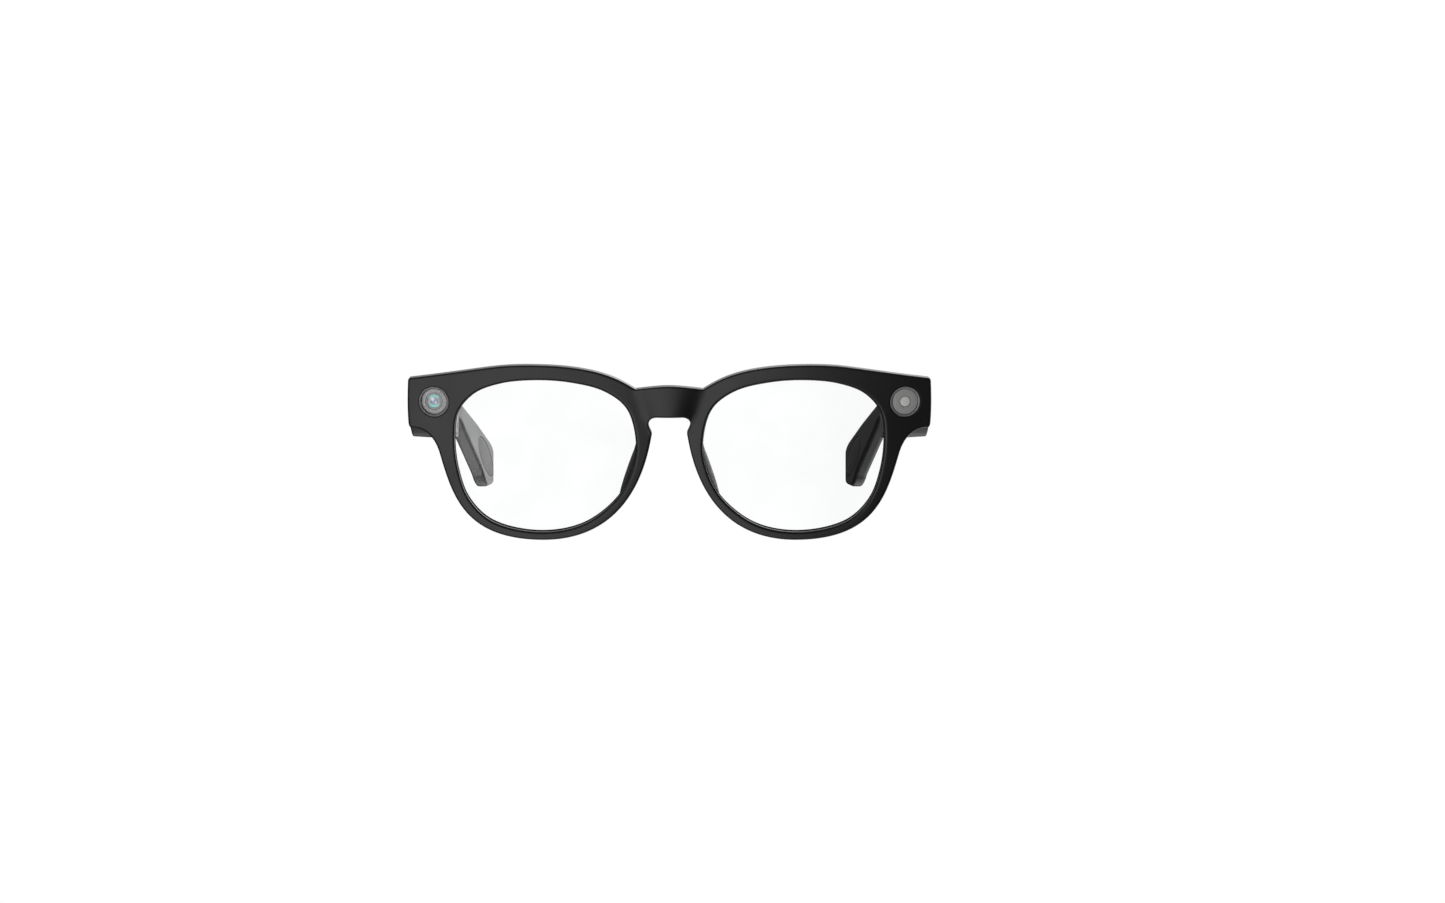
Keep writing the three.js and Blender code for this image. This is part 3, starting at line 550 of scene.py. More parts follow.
def turned(profile, x, z, segments=96):
    """A body of revolution about the line along Y through (x, z); the profile lists (radius, y)."""
    bm = bmesh.new()
    rings = []
    for radius, y in profile:
        if radius == 0:
            rings.append([bm.verts.new((x, y, z))])
        else:
            rings.append([bm.verts.new((a, y, b)) for a, b in circle(radius, x, z, segments)])
    pairs = list(zip(rings, rings[1:]))
    if profile[0][0] > 0:
        pairs.append((rings[-1], rings[0]))
    for a, b in pairs:
        for i in range(segments):
            j = (i + 1) % segments
            corners = [a[i % len(a)], a[j % len(a)], b[j % len(b)], b[i % len(b)]]
            bm.faces.new(list(dict.fromkeys(corners)))
    bmesh.ops.recalc_face_normals(bm, faces=bm.faces)
    return bm


# ---- the front ---------------------------------------------------------------------------------
def sweep(x, z=WINDOW_Z):
    """How far back the face lies: each rim comes forward, and the bridge arches between creases."""
    edge = CREASE_X + (z - CREASE_Z) * CREASE_LEAN
    far = abs(x)
    rim = (max(far, edge * 0.6) - CREST_X) ** 2 / (2 * SWEEP_RADIUS)
    foot = (edge - CREST_X) ** 2 / (2 * SWEEP_RADIUS)
    arch = foot - BRIDGE_RISE * (1 - (x / edge) ** 2)
    blend = max(CREASE_SOFT - abs(rim - arch), 0) / CREASE_SOFT
    return min(rim, arch) - blend * blend * CREASE_SOFT / 4


def front_outline():
    """The outline seen from the front, counter-clockwise: (x, z)."""
    corner = END_X - 0.9
    curves = [
        [(0, BRIDGE_TOP), (3, BRIDGE_TOP), (6.4, 17.9), (9.5, 17.45), 10],
        [(9.5, 17.45), (12.95, 19.38), (18.55, BROW_TOP), (38.5, BROW_TOP), 30],
        [(38.5, BROW_TOP), (48.8, BROW_TOP), (49.5, 23.5), (corner, END_TOP), 34],
        [(corner, END_TOP), (END_X, END_TOP), (END_X, END_TOP - 1.2), 6],
        [(END_X, END_TOP - 1.2), (END_X + 0.35, 12.5), (END_X, END_LOW + 1.5), 12],
        [(END_X, END_LOW + 1.5), (END_X - 0.1, END_LOW), (72.9, END_LOW), 6],
        [(72.9, END_LOW), (71.1, 5.93), (67.1, 5.43), (65.1, -0.78), 14],
        [(65.1, -0.78), (61.5, -13.1), (58.5, RIM_LOW), (36, RIM_LOW), 40],
        [(36, RIM_LOW), (9.1, RIM_LOW), (5.9, 0), (4.95, 4.6), 48],
        [(4.95, 4.6), (4.8, 5.4), (5.8, 6.4), (5.85, 7.5), 9],
        [(5.85, 7.5), (5.9, 8.7), (4.9, BRIDGE_LOW), (3.4, BRIDGE_LOW), 9],
        [(3.4, BRIDGE_LOW), (2.3, BRIDGE_LOW), (1.1, BRIDGE_LOW), (0, BRIDGE_LOW), 4],
    ]
    half = [(0, BRIDGE_TOP)]
    for *points, steps in curves:
        half += bezier(*points, steps) if len(points) == 4 else quadratic(*points, steps)
    return list(reversed(half)) + [(-x, z) for x, z in half[1:-1]]


def opening_loop(sign=1):
    """A lens opening's outline, counter-clockwise."""
    loop = spline(OPENING, 9)
    return list(reversed(loop)) if sign > 0 else [(-x, z) for x, z in loop]


def inside(point, loop):
    x, y = point
    if not min(p[0] for p in loop) < x < max(p[0] for p in loop):
        return False
    within = False
    for (ax, ay), (bx, by) in zip(loop, loop[1:] + loop[:1]):
        if (ay > y) != (by > y) and x < (bx - ax) * (y - ay) / (by - ay) + ax:
            within = not within
    return within


def near(points):
    tree = KDTree(len(points))
    for i, p in enumerate(points):
        tree.insert((p[0], p[1], 0), i)
    tree.balance()
    return tree


def sheet(outer, holes, spacing, depth):
    """An even net of triangles between an outline and its holes, as points (x, depth(x, z), z)."""
    loops = [outer, *holes]
    points, edges = [], []
    for loop in loops:
        first = len(points)
        points += [Vector(p) for p in loop]
        edges += [(first + i, first + (i + 1) % len(loop)) for i in range(len(loop))]
    # A guard row keeps the triangles at each edge even, and the grid's points keep clear of it.
    rims = near(points)
    guards = inset(outer, GUARD) + [p for hole in holes for p in inset(hole, -GUARD)]
    points += [Vector(p) for p in guards if rims.find((*p, 0))[2] > 0.85 * GUARD]
    tree = near(points)
    xs, zs = [p[0] for p in outer], [p[1] for p in outer]
    columns = round((max(xs) - min(xs)) / spacing)
    rows = round((max(zs) - min(zs)) / spacing)
    for i in range(1, columns):
        for j in range(1, rows):
            shift = 0.5 if j % 2 else 0
            spot = (
                mix(min(xs), max(xs), (i + shift) / columns),
                mix(min(zs), max(zs), j / rows),
            )
            if tree.find((*spot, 0))[2] < spacing * 0.7:
                continue
            if inside(spot, outer) and not any(inside(spot, hole) for hole in holes):
                points.append(Vector(spot))
    made, _, faces, *_ = delaunay_2d_cdt(points, edges, [], 1, 1e-5)
    bm = bmesh.new()
    verts = [bm.verts.new((p.x, depth(p.x, p.y), p.y)) for p in made]
    for face in faces:
        middle = sum((made[i] for i in face), Vector((0, 0))) / len(face)
        if not any(inside(middle, hole) for hole in holes):
            bm.faces.new([verts[i] for i in face])
    return bm


def sewn(parts, distance=0.002):
    """Sheets and strips joined along their shared edges into one closed skin."""
    bm = merged(parts)
    bmesh.ops.remove_doubles(bm, verts=bm.verts, dist=distance)
    bmesh.ops.recalc_face_normals(bm, faces=bm.faces)
    return bm


def strip(loop, levels):
    """The side wall of a plate along a loop: levels of (inset, depth)."""
    rings = [[(x, y, z) for x, z in inset(loop, d)] for d, y in levels]
    return skin(rings, lids=False)


def front_plate():
    outer = front_outline()
    openings = [opening_loop(1), opening_loop(-1)]
    windows = [circle(WINDOW_R, sign * WINDOW_X, WINDOW_Z) for sign in (1, -1)]
    rounding = fillet(EDGE, 5)
    lip = fillet(OPENING_EDGE, 4)
    window_lip = fillet(WINDOW_EDGE, 3)
    back = [(d, RIM_THICK - y) for d, y in reversed(rounding)]
    lip_back = [(-d, RIM_THICK - y) for d, y in reversed(lip)]
    groove = [(0, GROOVE_Y - GROOVE_HALF), (-GROOVE_DEEP, GROOVE_Y), (0, GROOVE_Y + GROOVE_HALF)]
    parts = [strip(outer, rounding + back)]
    for loop in openings:
        parts.append(strip(loop, [(-d, y) for d, y in lip] + groove + lip_back))
    for loop in windows:
        parts.append(strip(loop, [(-d, y) for d, y in window_lip] + [(0, RIM_THICK)]))
    face = inset(outer, EDGE)
    holes = [inset(loop, -OPENING_EDGE) for loop in openings]
    window_holes = [inset(loop, -WINDOW_EDGE) for loop in windows]
    parts.append(sheet(face, holes + window_holes, NET, lambda x, z: 0))
    parts.append(sheet(face, holes + windows, NET, lambda x, z: RIM_THICK))
    return sheared(sewn(parts))


def drafted(x, z, part=1.0):
    """The outer side of the thick blocks leans inwards towards their underside."""
    reach = ramp(x, INNER + 2, OUTER - 2)
    return x - DRAFT * part * reach * max(0, DRAFT_FROM - z)


def end_return():
    """The block behind an endpiece, which carries the hinge, in the worn frame."""
    sin_tilt, cos_tilt = math.sin(FACE_TILT), math.cos(FACE_TILT)
    start, start_low, start_top, edge = 7.4, 8.4, 19.9, 0.25
    rear = (HINGE.y - JOINT_GAP / 2) * cos_tilt + WINDOW_Z * sin_tilt
    levels = [(0, mix(start, rear - 1, i / 10)) for i in range(11)]
    levels += [(d, rear - h) for d, h in reversed(fillet(edge, 3))]
    rings = []
    for shrink, depth in levels:
        # It starts inside the endpiece and grows to the housing's height on its way back.
        low = mix(start_low, LOW, ramp(depth, 7.0, 12.6)) + shrink
        top = mix(start_top, TOP, ramp(depth, start, 11.5)) - shrink
        outline = rounded_rect(62.6 + shrink, low, OUTER - shrink, top, CORNER - shrink, 6, 5)
        rings.append([(drafted(x, z), (depth - z * sin_tilt) / cos_tilt, z) for x, z in outline])
    return skin(rings)


def on_hinge(bm):
    return move(bm, ON_HINGE)


def hinge_room():
    return on_hinge(upright(HINGE_R + HINGE_CLEAR, 6.5, 19.3, HINGE.x, HINGE.y))


def leaf_room():
    y0 = HINGE.y - HINGE_R - HINGE_CLEAR
    return on_hinge(block(HINGE.x - 4, HINGE.x, y0, HINGE.y + 2, HINGE_LOW - 0.3, HINGE_HIGH + 0.3))


def brow_strip(width, y0, y1, trim):
    """A strip along the brow's back, from one window to the other."""
    line = spline([(-x, z) for x, z in reversed(BROW_LINE[1:])] + list(BROW_LINE), 10, closed=False)
    line = line[trim : len(line) - trim]
    rings = []
    for i, (x, z) in enumerate(line):
        (ax, az), (bx, bz) = line[max(0, i - 1)], line[min(len(line) - 1, i + 1)]
        across_x, across_z = -(bz - az), bx - ax
        reach = width / 2 / math.hypot(across_x, across_z)
        dx, dz, back = across_x * reach, across_z * reach, sweep(x, z)
        corners = ((-1, y0), (-1, y1), (1, y1), (1, y0))
        rings.append([(x + sign * dx, y + back, z + sign * dz) for sign, y in corners])
    return skin(rings)


def front_frame():
    upright_front = Matrix.Rotation(-FACE_TILT, 4, "X")
    body = solid(front_plate(), "front_shell")
    returns, tools = [], []
    for sign in (1, -1):
        side = (lambda bm: bm) if sign > 0 else mirror
        room = WINDOW_R + 0.06
        bore = turned([(0, 4.0), (room, 4.0), (room, 9.4), (0, 9.4)], WINDOW_X, WINDOW_Z)
        wire_way = slab(centred(69.4, 12.5, 1, 0.9, 0.5, 4), 8.4, 22, "y", 0.1, 1)
        returns.append(move(side(end_return()), upright_front))
        tools += [side(sheared(bore)), side(wire_way)]
        tools += [move(side(hinge_room()), upright_front), move(side(leaf_room()), upright_front)]
    combine(body, returns, "UNION")
    combine(body, tools)
    combine(body, [brow_strip(CHANNEL, RIM_THICK - 1.5, RIM_THICK + 1, 0)])
    place(body, "front_shell", FRONT, "front", BLACK, ["front_frame"])
    cover = brow_strip(CHANNEL - 0.16, RIM_THICK - 0.55, RIM_THICK - 0.04, 1)
    place(cover, "brow_channel_cover", FRONT, "front", SATIN, ["brow_channel_strip"])


def lens(side):
    """A domed plate of even thickness, with a ground bevel that sits in the rim's groove."""
    loop = opening_loop(1)
    rim = inset(loop, 0.1)
    front_y, back_y = GROOVE_Y - LENS_HALF, GROOVE_Y + LENS_HALF

    def dome(x, z):
        dx, dz = (x - LENS_MIDDLE[0]) / LENS_REACH[0], (z - LENS_MIDDLE[1]) / LENS_REACH[1]
        return LENS_DOME * max(0, 1 - dx * dx - dz * dz)

    bevel = strip(loop, [(0.1, front_y), (0.2 - GROOVE_DEEP, GROOVE_Y), (0.1, back_y)])
    for face in bevel.faces:
        face.material_index = 1
    faces = [
        sheet(rim, [], 1.6, lambda x, z: front_y - dome(x, z)),
        sheet(rim, [], 1.6, lambda x, z: back_y - dome(x, z)),
    ]
    for bm, level in zip(faces, (front_y, back_y)):
        for vert in bm.verts:
            if vert.is_boundary:
                vert.co.y = level
    bm = sheared(sewn([bevel, *faces]))
    finish_of_face = [face.material_index for face in bm.faces]
    glazing = paired(bm, side, "lens_glazing", FRONT, "front", LENS, "lens", 30)
    glazing.data.materials.append(LENS_EDGE)
    glazing.data.polygons.foreach_set("material_index", finish_of_face)


def nose_pad(side):
    """A pad that stands back and outwards from the nasal side of the rim."""
    low, high, steps, around = -15.3, 3.2, 26, 32
    rings = []
    for i in range(steps + 1):
        # Just short of the ends, where a ring would shrink to a line.
        s = -math.cos(math.pi * i / steps) * 0.998
        z = (low + high) / 2 + s * (high - low) / 2
        swell = (1 - s * s) ** 0.5
        root = 7.15 + 0.2 * max(0, -z - 0.5) + 0.012 * z * z
        deep = PAD_ROOT + PAD_DEEP * swell
        thick = 0.15 + 1.25 * swell
        y0 = RIM_THICK - PAD_ROOT + sweep(root, z)
        ring = []
        for k in range(around):
            a = 2 * math.pi * k / around
            back = (1 - math.cos(a)) / 2
            wide = math.copysign(abs(math.sin(a)) ** 0.8, math.sin(a))
            ring.append((root + PAD_FLARE * deep * back + thick * wide, y0 + deep * back, z))
        rings.append(ring)
    paired(skin(rings), side, "nose_rest", FRONT, "front", BLACK, "nose_pad", 60)


def window_pieces():
    """The pieces turned about the two windows' axes; each profile lists (radius, depth)."""

    def fit(name, profile, side, material, node, sharp=30):
        bm = sheared(turned(profile, WINDOW_X, WINDOW_Z))
        place(bm, name, FRONT, "front", material, [node], sharp, side == "right")

    for side in SIDES:
        bezel = [(3.7, 0.5), (3.73, 0.34), (3.84, 0.24), (4.14, 0.12), (4.22, 0.14), (4.28, 0.26)]
        bezel += [(4.28, 2.1), (2.62, 2.1), (2.62, 1.42), (3.54, 1.3), (3.56, 1.2), (3.7, 1.2)]
        fit(side + "_window_ring", bezel, side, GREY_RING, side + "_window_bezel")
    glass = [(0, 0.42), (2.0, 0.45), (3.5, 0.52), (3.56, 0.6), (3.56, 1.1), (0, 1.1)]
    fit("camera_glass", glass, "right", COVER_GLASS, "camera_cover_glass")
    barrel = [(1.94, 1.95), (1.98, 1.8), (2.1, 1.66), (2.28, 1.6), (2.33, 1.66), (2.34, 2.1)]
    barrel += [(2.47, 2.1), (2.48, 1.3), (2.54, 1.22), (3.42, 1.16), (3.5, 1.22), (3.5, 1.26)]
    barrel += [(2.56, 1.38), (2.56, 6.2), (1.2, 6.2), (1.2, 4.0), (1.94, 4.0)]
    fit("camera_tube", barrel, "right", PALE_RING, "camera_barrel")
    reach = 1.9
    element = [(0, 1.5), (0.6, 1.53), (1.1, 1.64), (1.55, 1.84), (reach, 2.1), (reach, 3.2), (0, 3.2)]
    centre = FRONT @ Vector((-WINDOW_X, sweep(WINDOW_X) + 1.5, WINDOW_Z))
    # The front element's colours are painted reflections, painted highlights and a painted glow.
    element_painted_reflections = painted_reflection_element("painted_reflection_element", centre, reach * MM)
    fit("camera_front_lens", element, "right", element_painted_reflections, "camera_front_element", 40)
    diffuser = [(1.56, 0.62), (1.6, 0.55), (3.44, 0.46), (3.54, 0.5), (3.58, 0.62), (3.58, 1.15)]
    diffuser += [(1.56, 1.15)]
    fit("light_ring", diffuser, "left", FROST, "light_diffuser")
    middle = [(0, 0.5), (1.2, 0.52), (1.38, 0.58), (1.44, 0.7), (1.44, 4.2), (0, 4.2)]
    fit("light_dot", middle, "left", CENTRE, "light_centre_window")


def bridge_microphone():
    z = 11.5
    loop = centred(0, z, 1.8, 1.1, 0.6, 6)
    plate = solid(slab(loop, RIM_THICK - 0.2, RIM_THICK + 0.5, "y", 0.15))
    ports = [turned([(0, 4), (0.22, 4), (0.22, 6), (0, 6)], x, z, 16) for x in (-0.8, 0, 0.8)]
    combine(plate, ports)
    plate.data.transform(Matrix.Translation((0, sweep(0, z), 0)))
    place(plate, "bridge_microphone_port", FRONT, "front", STEEL, ["bridge_microphone"])


# ---- hinges ------------------------------------------------------------------------------------
def hinge(side):
    """The front's leaf with two knuckles, the temple's leaf between them, and the pin."""
    x, y = HINGE.x, HINGE.y
    matrix = WORN @ ON_HINGE
    front_z = ((HINGE_LOW, HINGE_LOW + 3), (HINGE_HIGH - 3, HINGE_HIGH))
    temple_z = (HINGE_LOW + 3.12, HINGE_HIGH - 3.12)
    screw_y = y - 2.9

    def knuckle(z0, z1):
        return upright(HINGE_R, z0, z1, x, y, 0.18)

    def bore():
        return upright(PIN_R + 0.08, HINGE_LOW - 2, HINGE_HIGH + 2, x, y)

    plate = rounded_rect(y - 4.2, HINGE_LOW, y - 0.35, HINGE_HIGH, 0.7, 6)
    leaf = solid(slab(plate, 61.2, 62.6, "x", 0.15))
    arms = [block(61.3, x, y - 1.55, y - 0.35, z0, z1, 0.2) for z0, z1 in front_z]
    combine(leaf, arms + [knuckle(z0, z1) for z0, z1 in front_z], "UNION")
    combine(leaf, [bore()] + [across(0.62, 60.9, 61.45, screw_y, z, 0.05) for z in HINGE_SCREW_Z])
    heads = merged([across(0.5, 61.3, 62.0, screw_y, z, 0.12) for z in HINGE_SCREW_Z])
    combine(leaf, [heads], "UNION")
    paired(leaf, side, "front_hinge", matrix, "front", STEEL, "hinge_front_leaf")

    arm = block(x + 0.2, x + 1.5, y, y + 3.6, *temple_z, 0.3)
    inner_leaf = combine(solid(knuckle(*temple_z)), [arm], "UNION")
    combine(inner_leaf, [bore()])
    body = side + "_temple"
    paired(inner_leaf, side, "temple_hinge", matrix, body, STEEL, "hinge_temple_leaf")

    head = upright(HINGE_R - 0.3, HINGE_HIGH + 0.12, HINGE_HIGH + 0.85, x, y, 0.2)
    shank = upright(PIN_R, HINGE_LOW - 0.3, HINGE_HIGH + 0.5, x, y)
    slot = block(x - 2, x + 2, y - 0.2, y + 0.2, HINGE_HIGH + 0.5, HINGE_HIGH + 2, 0.08, 0.02)
    pin = combine(solid(head), [shank], "UNION")
    combine(pin, [slot])
    paired(pin, side, "hinge_screw", matrix, "front", STEEL, "hinge_pin")


# ---- temples -----------------------------------------------------------------------------------
def through(points):
    """Height as a function of y along a line of points with rising y."""

    def height(y):
        for (ay, az), (by, bz) in zip(points, points[1:]):
            if y <= by:
                return mix(az, bz, min(1, max(0, (y - ay) / (by - ay))))
        return points[-1][1]

    return height


def stand_foot(y):
    """The height at which a tip's foot lies flat on what the glasses stand on."""
    return TIP_LOW + (y - (TIP_END - 5)) * STAND_SLOPE


def temple_heights():
    """The heights of a temple's underside and top edge, as functions of y."""
    low = [(0, LOW), (88, LOW)]
    low += bezier((88, LOW), (94, LOW), (96, 9.4), (100.6, 9.4), 14)
    low += bezier((100.6, 9.4), (106, 9.4), (108, 7.2), (111, 5.2), 12)
    low += [(134, -8.2)]
    low += quadratic((134, -8.2), (137, stand_foot(138) + 0.6), (139.5, stand_foot(139.5)), 8)
    low += [(145, stand_foot(145))]
    low += quadratic((145, stand_foot(145)), (TIP_END, stand_foot(TIP_END)), (TIP_END + 0.01, -8.6), 8)
    top = [(0, TOP), (79, TOP)]
    top += bezier((79, TOP), (93, TOP), (98, 17.9), (108, 14.75), 20)
    top += [(126, 9.15), (141, 3.85)]
    top += quadratic((141, 3.85), (146.8, 1.8), (TIP_END + 0.01, -1.2), 12)
    return through(low), through(top)


def thinning(y):
    return ramp(y, BLOCK_END - 4, NECK_Y + 3)


def inner_x(y):
    return INNER + 0.9 * thinning(y) - TOE_IN * max(0, y - NECK_Y)


def lifted(x, y, z, inner, outer, low):
    across_tip = (outer - x) / (outer - inner)
    part = thinning(y) * (1 - ramp(y, *LIFT_FADE))
    return UNDER_LIFT * part * across_tip * (1 - ramp(z, low, low + 5))


def temple_body():
    """Rings from the slanted joint face, through the housing and the neck, to the tip's end."""
    low, top = temple_heights()
    joint = HINGE.y + JOINT_GAP / 2
    levels = [(d, None, h) for d, h in fillet(0.25, 3)]
    stations = [18.5, 20, 30, 40, 50, 60, 70, 79, 82]
    stations += [84 + 0.8 * i for i in range(36)]
    stations += [mix(113.5, 133.5, i / 8) for i in range(9)]
    stations += [134 + 0.5 * i for i in range(24)]
    levels += [(0, y, 0) for y in stations]
    levels += [(d, TIP_END - h, 0) for d, h in reversed(fillet(1.0, 6))]
    rings = []
    for shrink, y, depth in levels:
        at = joint if y is None else y
        inner = inner_x(at)
        outer = inner + mix(OUTER - INNER, TIP_THICK, thinning(at))
        radius = max(0.25, mix(CORNER, TIP_CORNER, thinning(at)) - shrink)
        outline = rounded_rect(
            inner + shrink, low(at) + shrink, outer - shrink, top(at) - shrink, radius, 6, 6
        )
        outline = [
            (drafted(x, z, 1 - thinning(at)), z + lifted(x, at, z, inner, outer, low(at)))
            for x, z in outline
        ]
        if y is None:
            rings.append([(x, joint + depth - (z - WINDOW_Z) * LEAN, z) for x, z in outline])
        else:
            rings.append([(x, y, z) for x, z in outline])
    return skin(rings)


PAD_AT = (
    Matrix.Translation((inner_x(PAD_Y), PAD_Y, PAD_Z))
    @ Matrix.Rotation(math.atan(TOE_IN), 4, "Z")
    @ Matrix.Rotation(PAD_SLOPE, 4, "X")
)


def tip_pad(side):
    """An oval inlay in the tip's inner face, with a soft edge and a slightly raised middle."""
    half_long, half_wide = (PAD_LONG - PAD_GAP) / 2, (PAD_WIDE - PAD_GAP) / 2
    rings = [(0, 0.6), (0, 0.16), (0.05, 0.07), (0.14, 0.02), (0.3, 0.0)]
    rings += [(half_wide * 0.16 * k, -0.02 - 0.08 * ramp(k, 0, 5)) for k in range(1, 6)]
    loops = [(oval(half_long - d * half_long / half_wide, half_wide - d), x) for d, x in rings]
    bm = move(skin([[(x, y, z) for y, z in loop] for loop, x in loops]), PAD_AT)
    paired(bm, side, "tip_inlay", WORN, side + "_temple", PAD_RUBBER, "tip_pad", 50)


def pill(x, y, wide, long, z0, z1, edge, steps=4):
    return slab(centred(x, y, wide / 2, long / 2, wide / 2 - 0.08, 12), z0, z1, "z", edge, steps)


def housing(side):
    y0, y1, z0, z1 = COVER
    seat = slab(rounded_rect(y0, z0, y1, z1, 2.2, 10), INNER - 1, INNER + COVER_DEEP + 0.1, "x", 0.02, 1)
    cy0, cy1, cz0, cz1 = CAVITY
    cavity = slab(rounded_rect(cy0, cz0, cy1, cz1, 1.6, 8), INNER + 1, OUTER - 1.3, "x", 0.2, 2)
    arm_low, arm_high = HINGE_LOW + 2.9, HINGE_HIGH - 2.9
    arm_room = on_hinge(block(HINGE.x - 2, HINGE.x + 1.8, HINGE.y, HINGE.y + 3.9, arm_low, arm_high))
    gx0, gx1, gy0, gy1 = GRILLE
    grille_seat = block(gx0 - 0.12, gx1 + 0.12, gy0 - 0.12, gy1 + 0.12, LOW - 1, 7, 0.7, 0.02)
    inlay = skin([[(x, y, z) for y, z in oval(PAD_LONG / 2, PAD_WIDE / 2)] for x in (-1.5, 0.9)])
    tools = [seat, cavity, hinge_room(), arm_room, grille_seat, move(inlay, PAD_AT)]
    if side == "right":
        tools.append(pill(BUTTON_X, BUTTON_Y, BUTTON_WIDE + 0.24, BUTTON_LONG + 0.24, 18, 22, 0.02, 1))
    shell = combine(solid(temple_body()), tools)
    body = side + "_temple"
    paired(shell, side, "temple_shell", WORN, body, TEMPLE_BLACK, "temple_housing", 32)


def inner_cover(side):
    """The flat cover over a housing's cavity, with its screws."""
    body = side + "_temple"
    y0, y1, z0, z1 = COVER
    loop = rounded_rect(y0 + 0.1, z0 + 0.1, y1 - 0.1, z1 - 0.1, 2.1, 10)
    cover = solid(slab(loop, INNER, INNER + COVER_DEEP, "x", 0.18, 3))
    tools = [across(0.95, INNER - 1, INNER + 2, y, z, 0.02) for y, z in SCREW_AT]
    if side == "right":
        tools += [across(1.0, INNER - 1, INNER + 2, y, z, 0.02) for y, z in CONTACT_AT]
    else:
        half_y, half_z = SLIDER_LONG / 2 + 0.15, SLIDER_TALL / 2 + 0.15
        low, high = SLIDER_Z - half_z, SLIDER_Z + half_z
        track = rounded_rect(SLIDER_Y - half_y, low, SLIDER_Y + half_y + SLIDER_TRAVEL, high, 0.5, 5)
        tools.append(slab(track, INNER - 1, INNER + 2, "x", 0.02, 1))
    combine(cover, tools)
    paired(cover, side, "electronics_cover", WORN, body, TEMPLE_BLACK, "inner_cover", 32)
    for number, (y, z) in enumerate(SCREW_AT, 1):
        head = across(0.8, INNER + 0.12, INNER + 0.8, y, z, 0.15)
        shank = across(0.4, INNER + 0.5, INNER + 4, y, z, 0.05)
        screw = combine(solid(head), [shank], "UNION")
        arm, narrow = 0.46, 0.1  # of the cross in its head
        for half_y, half_z in ((arm, narrow), (narrow, arm)):
            recess = slab(centred(y, z, half_y, half_z, 0.06, 3), INNER - 1, INNER + 0.42, "x", 0.02, 1)
            combine(screw, [recess])
        name, node = "screw_" + str(number), "cover_screw_" + str(number)
        paired(screw, side, name, WORN, body, STEEL, node)


def grille(side):
    x0, x1, y0, y1 = GRILLE
    plate = solid(block(x0, x1, y0, y1, LOW + 0.06, LOW + 0.8, 0.6, 0.12))
    slots = []
    count, margin, half = 7, 1.1, 0.28
    for i in range(count):
        y = y0 + margin + i * (y1 - y0 - 2 * margin) / (count - 1)
        loop = rounded_rect(x0 + 0.5, y - half, x1 - 0.5, y + half, half - 0.02, 6)
        slots.append(slab(loop, LOW - 1, LOW + 2, "z", 0.02, 1))
    combine(plate, [merged(slots)])
    paired(plate, side, "grille", WORN, side + "_temple", STEEL, "speaker_grille")


def capture_key():
    """A pill-shaped button with a flange that holds it in the housing, and a touch groove."""
    cap = solid(pill(BUTTON_X, BUTTON_Y, BUTTON_WIDE, BUTTON_LONG, 19.0, CAP_TOP, 0.35, 5))
    flange = pill(BUTTON_X, BUTTON_Y, BUTTON_WIDE + 1.6, BUTTON_LONG + 1.6, 18.3, 19.1, 0.1, 2)
    combine(cap, [flange], "UNION")
    combine(cap, [pill(BUTTON_X, BUTTON_Y, 0.5, 3.2, CAP_TOP - 0.12, CAP_TOP + 1, 0.05, 2)])
    place(cap, "capture_key", WORN, "capture_button", SATIN, ["capture_button"], 35, True)


def power_knob():
    """A ribbed knob with a wider back plate behind the cover."""
    half_y, half_z = SLIDER_LONG / 2, SLIDER_TALL / 2
    front = centred(SLIDER_Y, SLIDER_Z, half_y, half_z, 0.45, 5)
    back = centred(SLIDER_Y, SLIDER_Z, half_y + 1, half_z + 1, 0.5, 4)
    knob = solid(slab(front, INNER - 0.4, INNER + 1.7, "x", 0.15, 3))
    combine(knob, [slab(back, INNER + 1.6, INNER + 2.4, "x", 0.1, 2)], "UNION")
    grooves = []
    for k in range(-2, 3):
        loop = centred(SLIDER_Y + 0.8 * k, SLIDER_Z, 0.17, 2, 0.1, 3)
        grooves.append(slab(loop, INNER - 1, INNER - 0.22, "x", 0.05, 1))
    combine(knob, [merged(grooves)])
    place(knob, "power_knob", WORN, "power_slider", SATIN, ["power_slider"])


def charging_pins():
    profile = [(0, 0.0), (0.35, 0.02), (0.6, 0.1), (0.74, 0.22), (0.8, 0.4), (0.8, 1.5), (0, 1.5)]
    for number, (y, z) in enumerate(CONTACT_AT, 1):
        stand = Matrix.Translation((INNER, y, z)) @ Matrix.Rotation(-math.pi / 2, 4, "Z")
        pin = move(turned(profile, 0, 0, 40), stand)
        name, node = "charging_pin_" + str(number), "right_charging_contact_" + str(number)
        place(pin, name, WORN, "right_temple", GOLD, [node], 35, True)


# ---- inside: the CAD's own pieces, with their finishes -----------------------------------------
def inside_finishes():
    by_slot = {
        "frame_black": BLACK, "temple_black": TEMPLE_BLACK, "satin_black": SATIN, "soft_pad": PAD_RUBBER,
        "lens_clear": LENS, "optics_clear": COVER_GLASS, "window_grey": FROST, "steel": STEEL,
        "gold": GOLD, "circuit_board": BOARD, "chip": CHIP, "battery_pouch": POUCH, "polyimide": AMBER,
    }
    for node in frame["nodes"].values():
        for held in node.material_slots:
            held.material = by_slot[held.material.name.split(".")[0]]


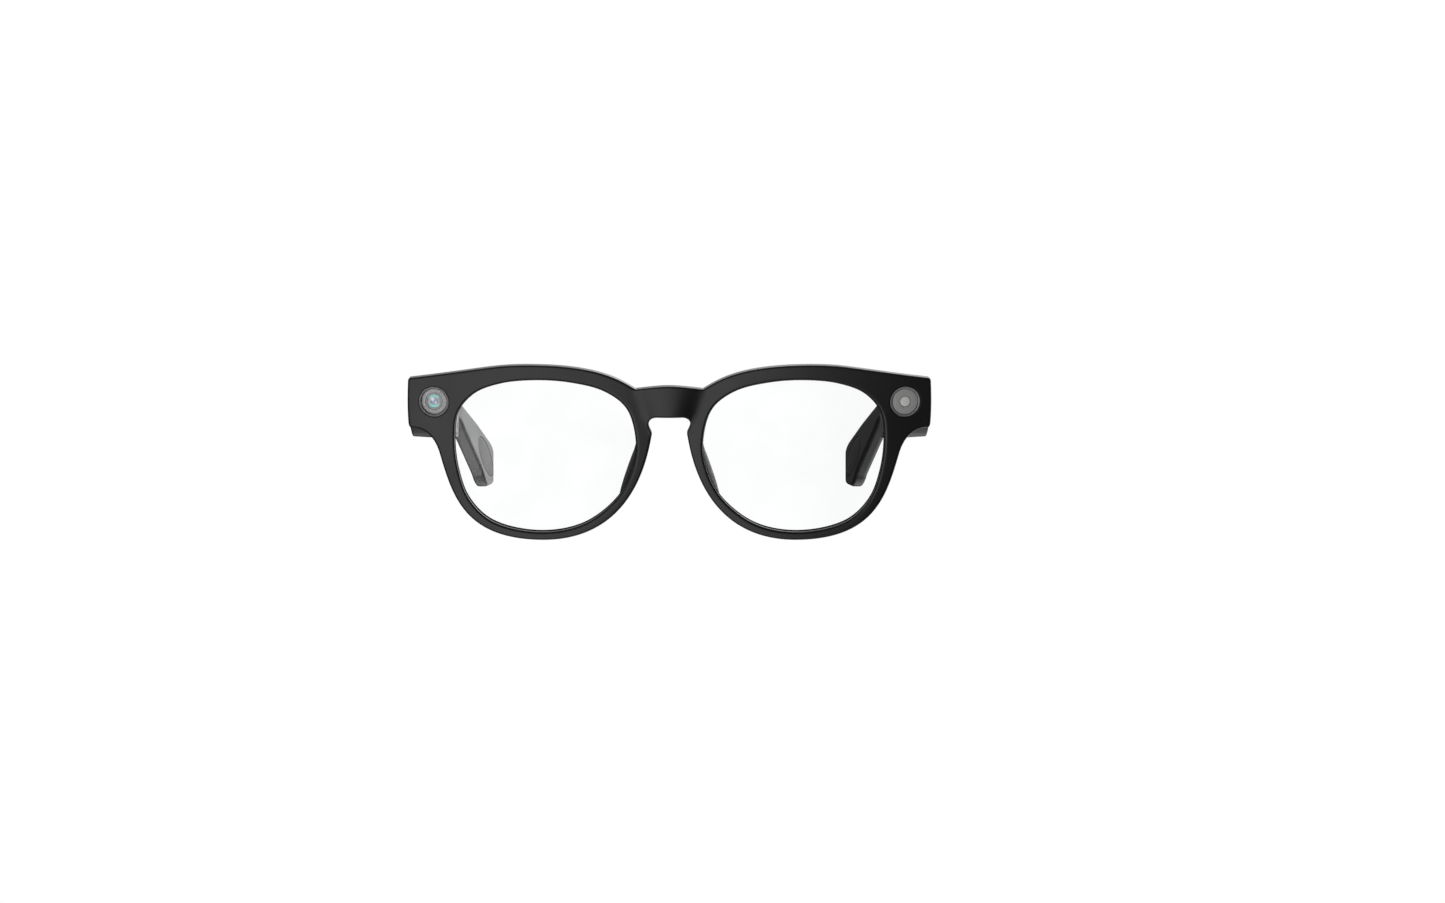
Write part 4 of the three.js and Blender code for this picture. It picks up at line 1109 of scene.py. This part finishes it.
# ---- studio ------------------------------------------------------------------------------------
def studio():
    """Soft boxes as parts of the sky; the camera itself sees a plain backdrop that reads as white."""
    world = bpy.data.worlds.new("studio")
    bpy.context.scene.world = world
    world.use_nodes = True
    tree = world.node_tree
    tree.nodes.clear()
    where = add(tree, "TexCoord").outputs["Generated"]
    total = SKY_BASE
    for azimuth, elevation, inner, outer, strength in SOFTBOXES:
        a, e = math.radians(azimuth), math.radians(elevation)
        middle = (math.sin(a) * math.cos(e), -math.cos(a) * math.cos(e), math.sin(e))
        toward = add(tree, "VectorMath", {0: where, 1: middle}, operation="DOT_PRODUCT").outputs["Value"]
        inputs = {
            "Value": toward,
            "From Min": math.cos(math.radians(outer)),
            "From Max": math.cos(math.radians(inner)),
            "To Max": strength,
        }
        light = add(tree, "MapRange", inputs, interpolation_type="SMOOTHSTEP").outputs["Result"]
        total = add(tree, "Math", {0: total, 1: light}).outputs["Value"]
    sky = add(tree, "Background", {"Color": WHITE, "Strength": total})
    backdrop = add(tree, "Background", {"Color": WHITE, "Strength": BACKDROP})
    seen = add(tree, "LightPath").outputs["Is Camera Ray"]
    add(tree, "OutputWorld", {"Surface": either(tree, seen, sky, backdrop)})


def ground():
    """A floor that reads as white and neither mirrors in the object nor lights it."""
    bm = bmesh.new()
    bmesh.ops.create_grid(bm, x_segments=8, y_segments=8, size=FLOOR_REACH)
    for vert in bm.verts:
        vert.co.z = FLOOR_LOW
    floor = solid(bm, "floor")
    material, tree, shader = new_material("pale_floor")
    feed(tree, shader, {"Base Color": (0.8, 0.8, 0.8, 1), "Roughness": 0.7})
    glow = add(tree, "Emission", {"Strength": BACKDROP})
    seen = add(tree, "LightPath").outputs["Is Camera Ray"]
    feed(tree, tree.nodes["Material Output"], {"Surface": either(tree, seen, shader, glow)})
    floor.data.materials.append(material)
    floor.visible_glossy = False
    floor.visible_diffuse = False
    floor.visible_shadow = False


def camera():
    """Straight in front of the lenses, and level with the temples as they are worn."""
    data = bpy.data.cameras.new("camera")
    data.sensor_width = SENSOR_WIDTH
    data.lens = FOCAL_LENGTH
    data.shift_x = SHIFT_X
    data.clip_start = 0.01
    obj = bpy.data.objects.new("camera", data)
    bpy.context.scene.collection.objects.link(obj)
    obj.location = WORN @ Vector((0, -CAMERA_AWAY, 0))
    obj.rotation_euler = (math.pi / 2 - STAND_TILT, 0, 0)
    bpy.context.scene.camera = obj


# ---- the scene ---------------------------------------------------------------------------------
front_frame()
bridge_microphone()
window_pieces()
for side in SIDES:
    lens(side)
    nose_pad(side)
    hinge(side)
    housing(side)
    inner_cover(side)
    tip_pad(side)
    grille(side)
capture_key()
power_knob()
charging_pins()
inside_finishes()
studio()
ground()
camera()
bpy.context.scene.view_settings.view_transform = "Standard"
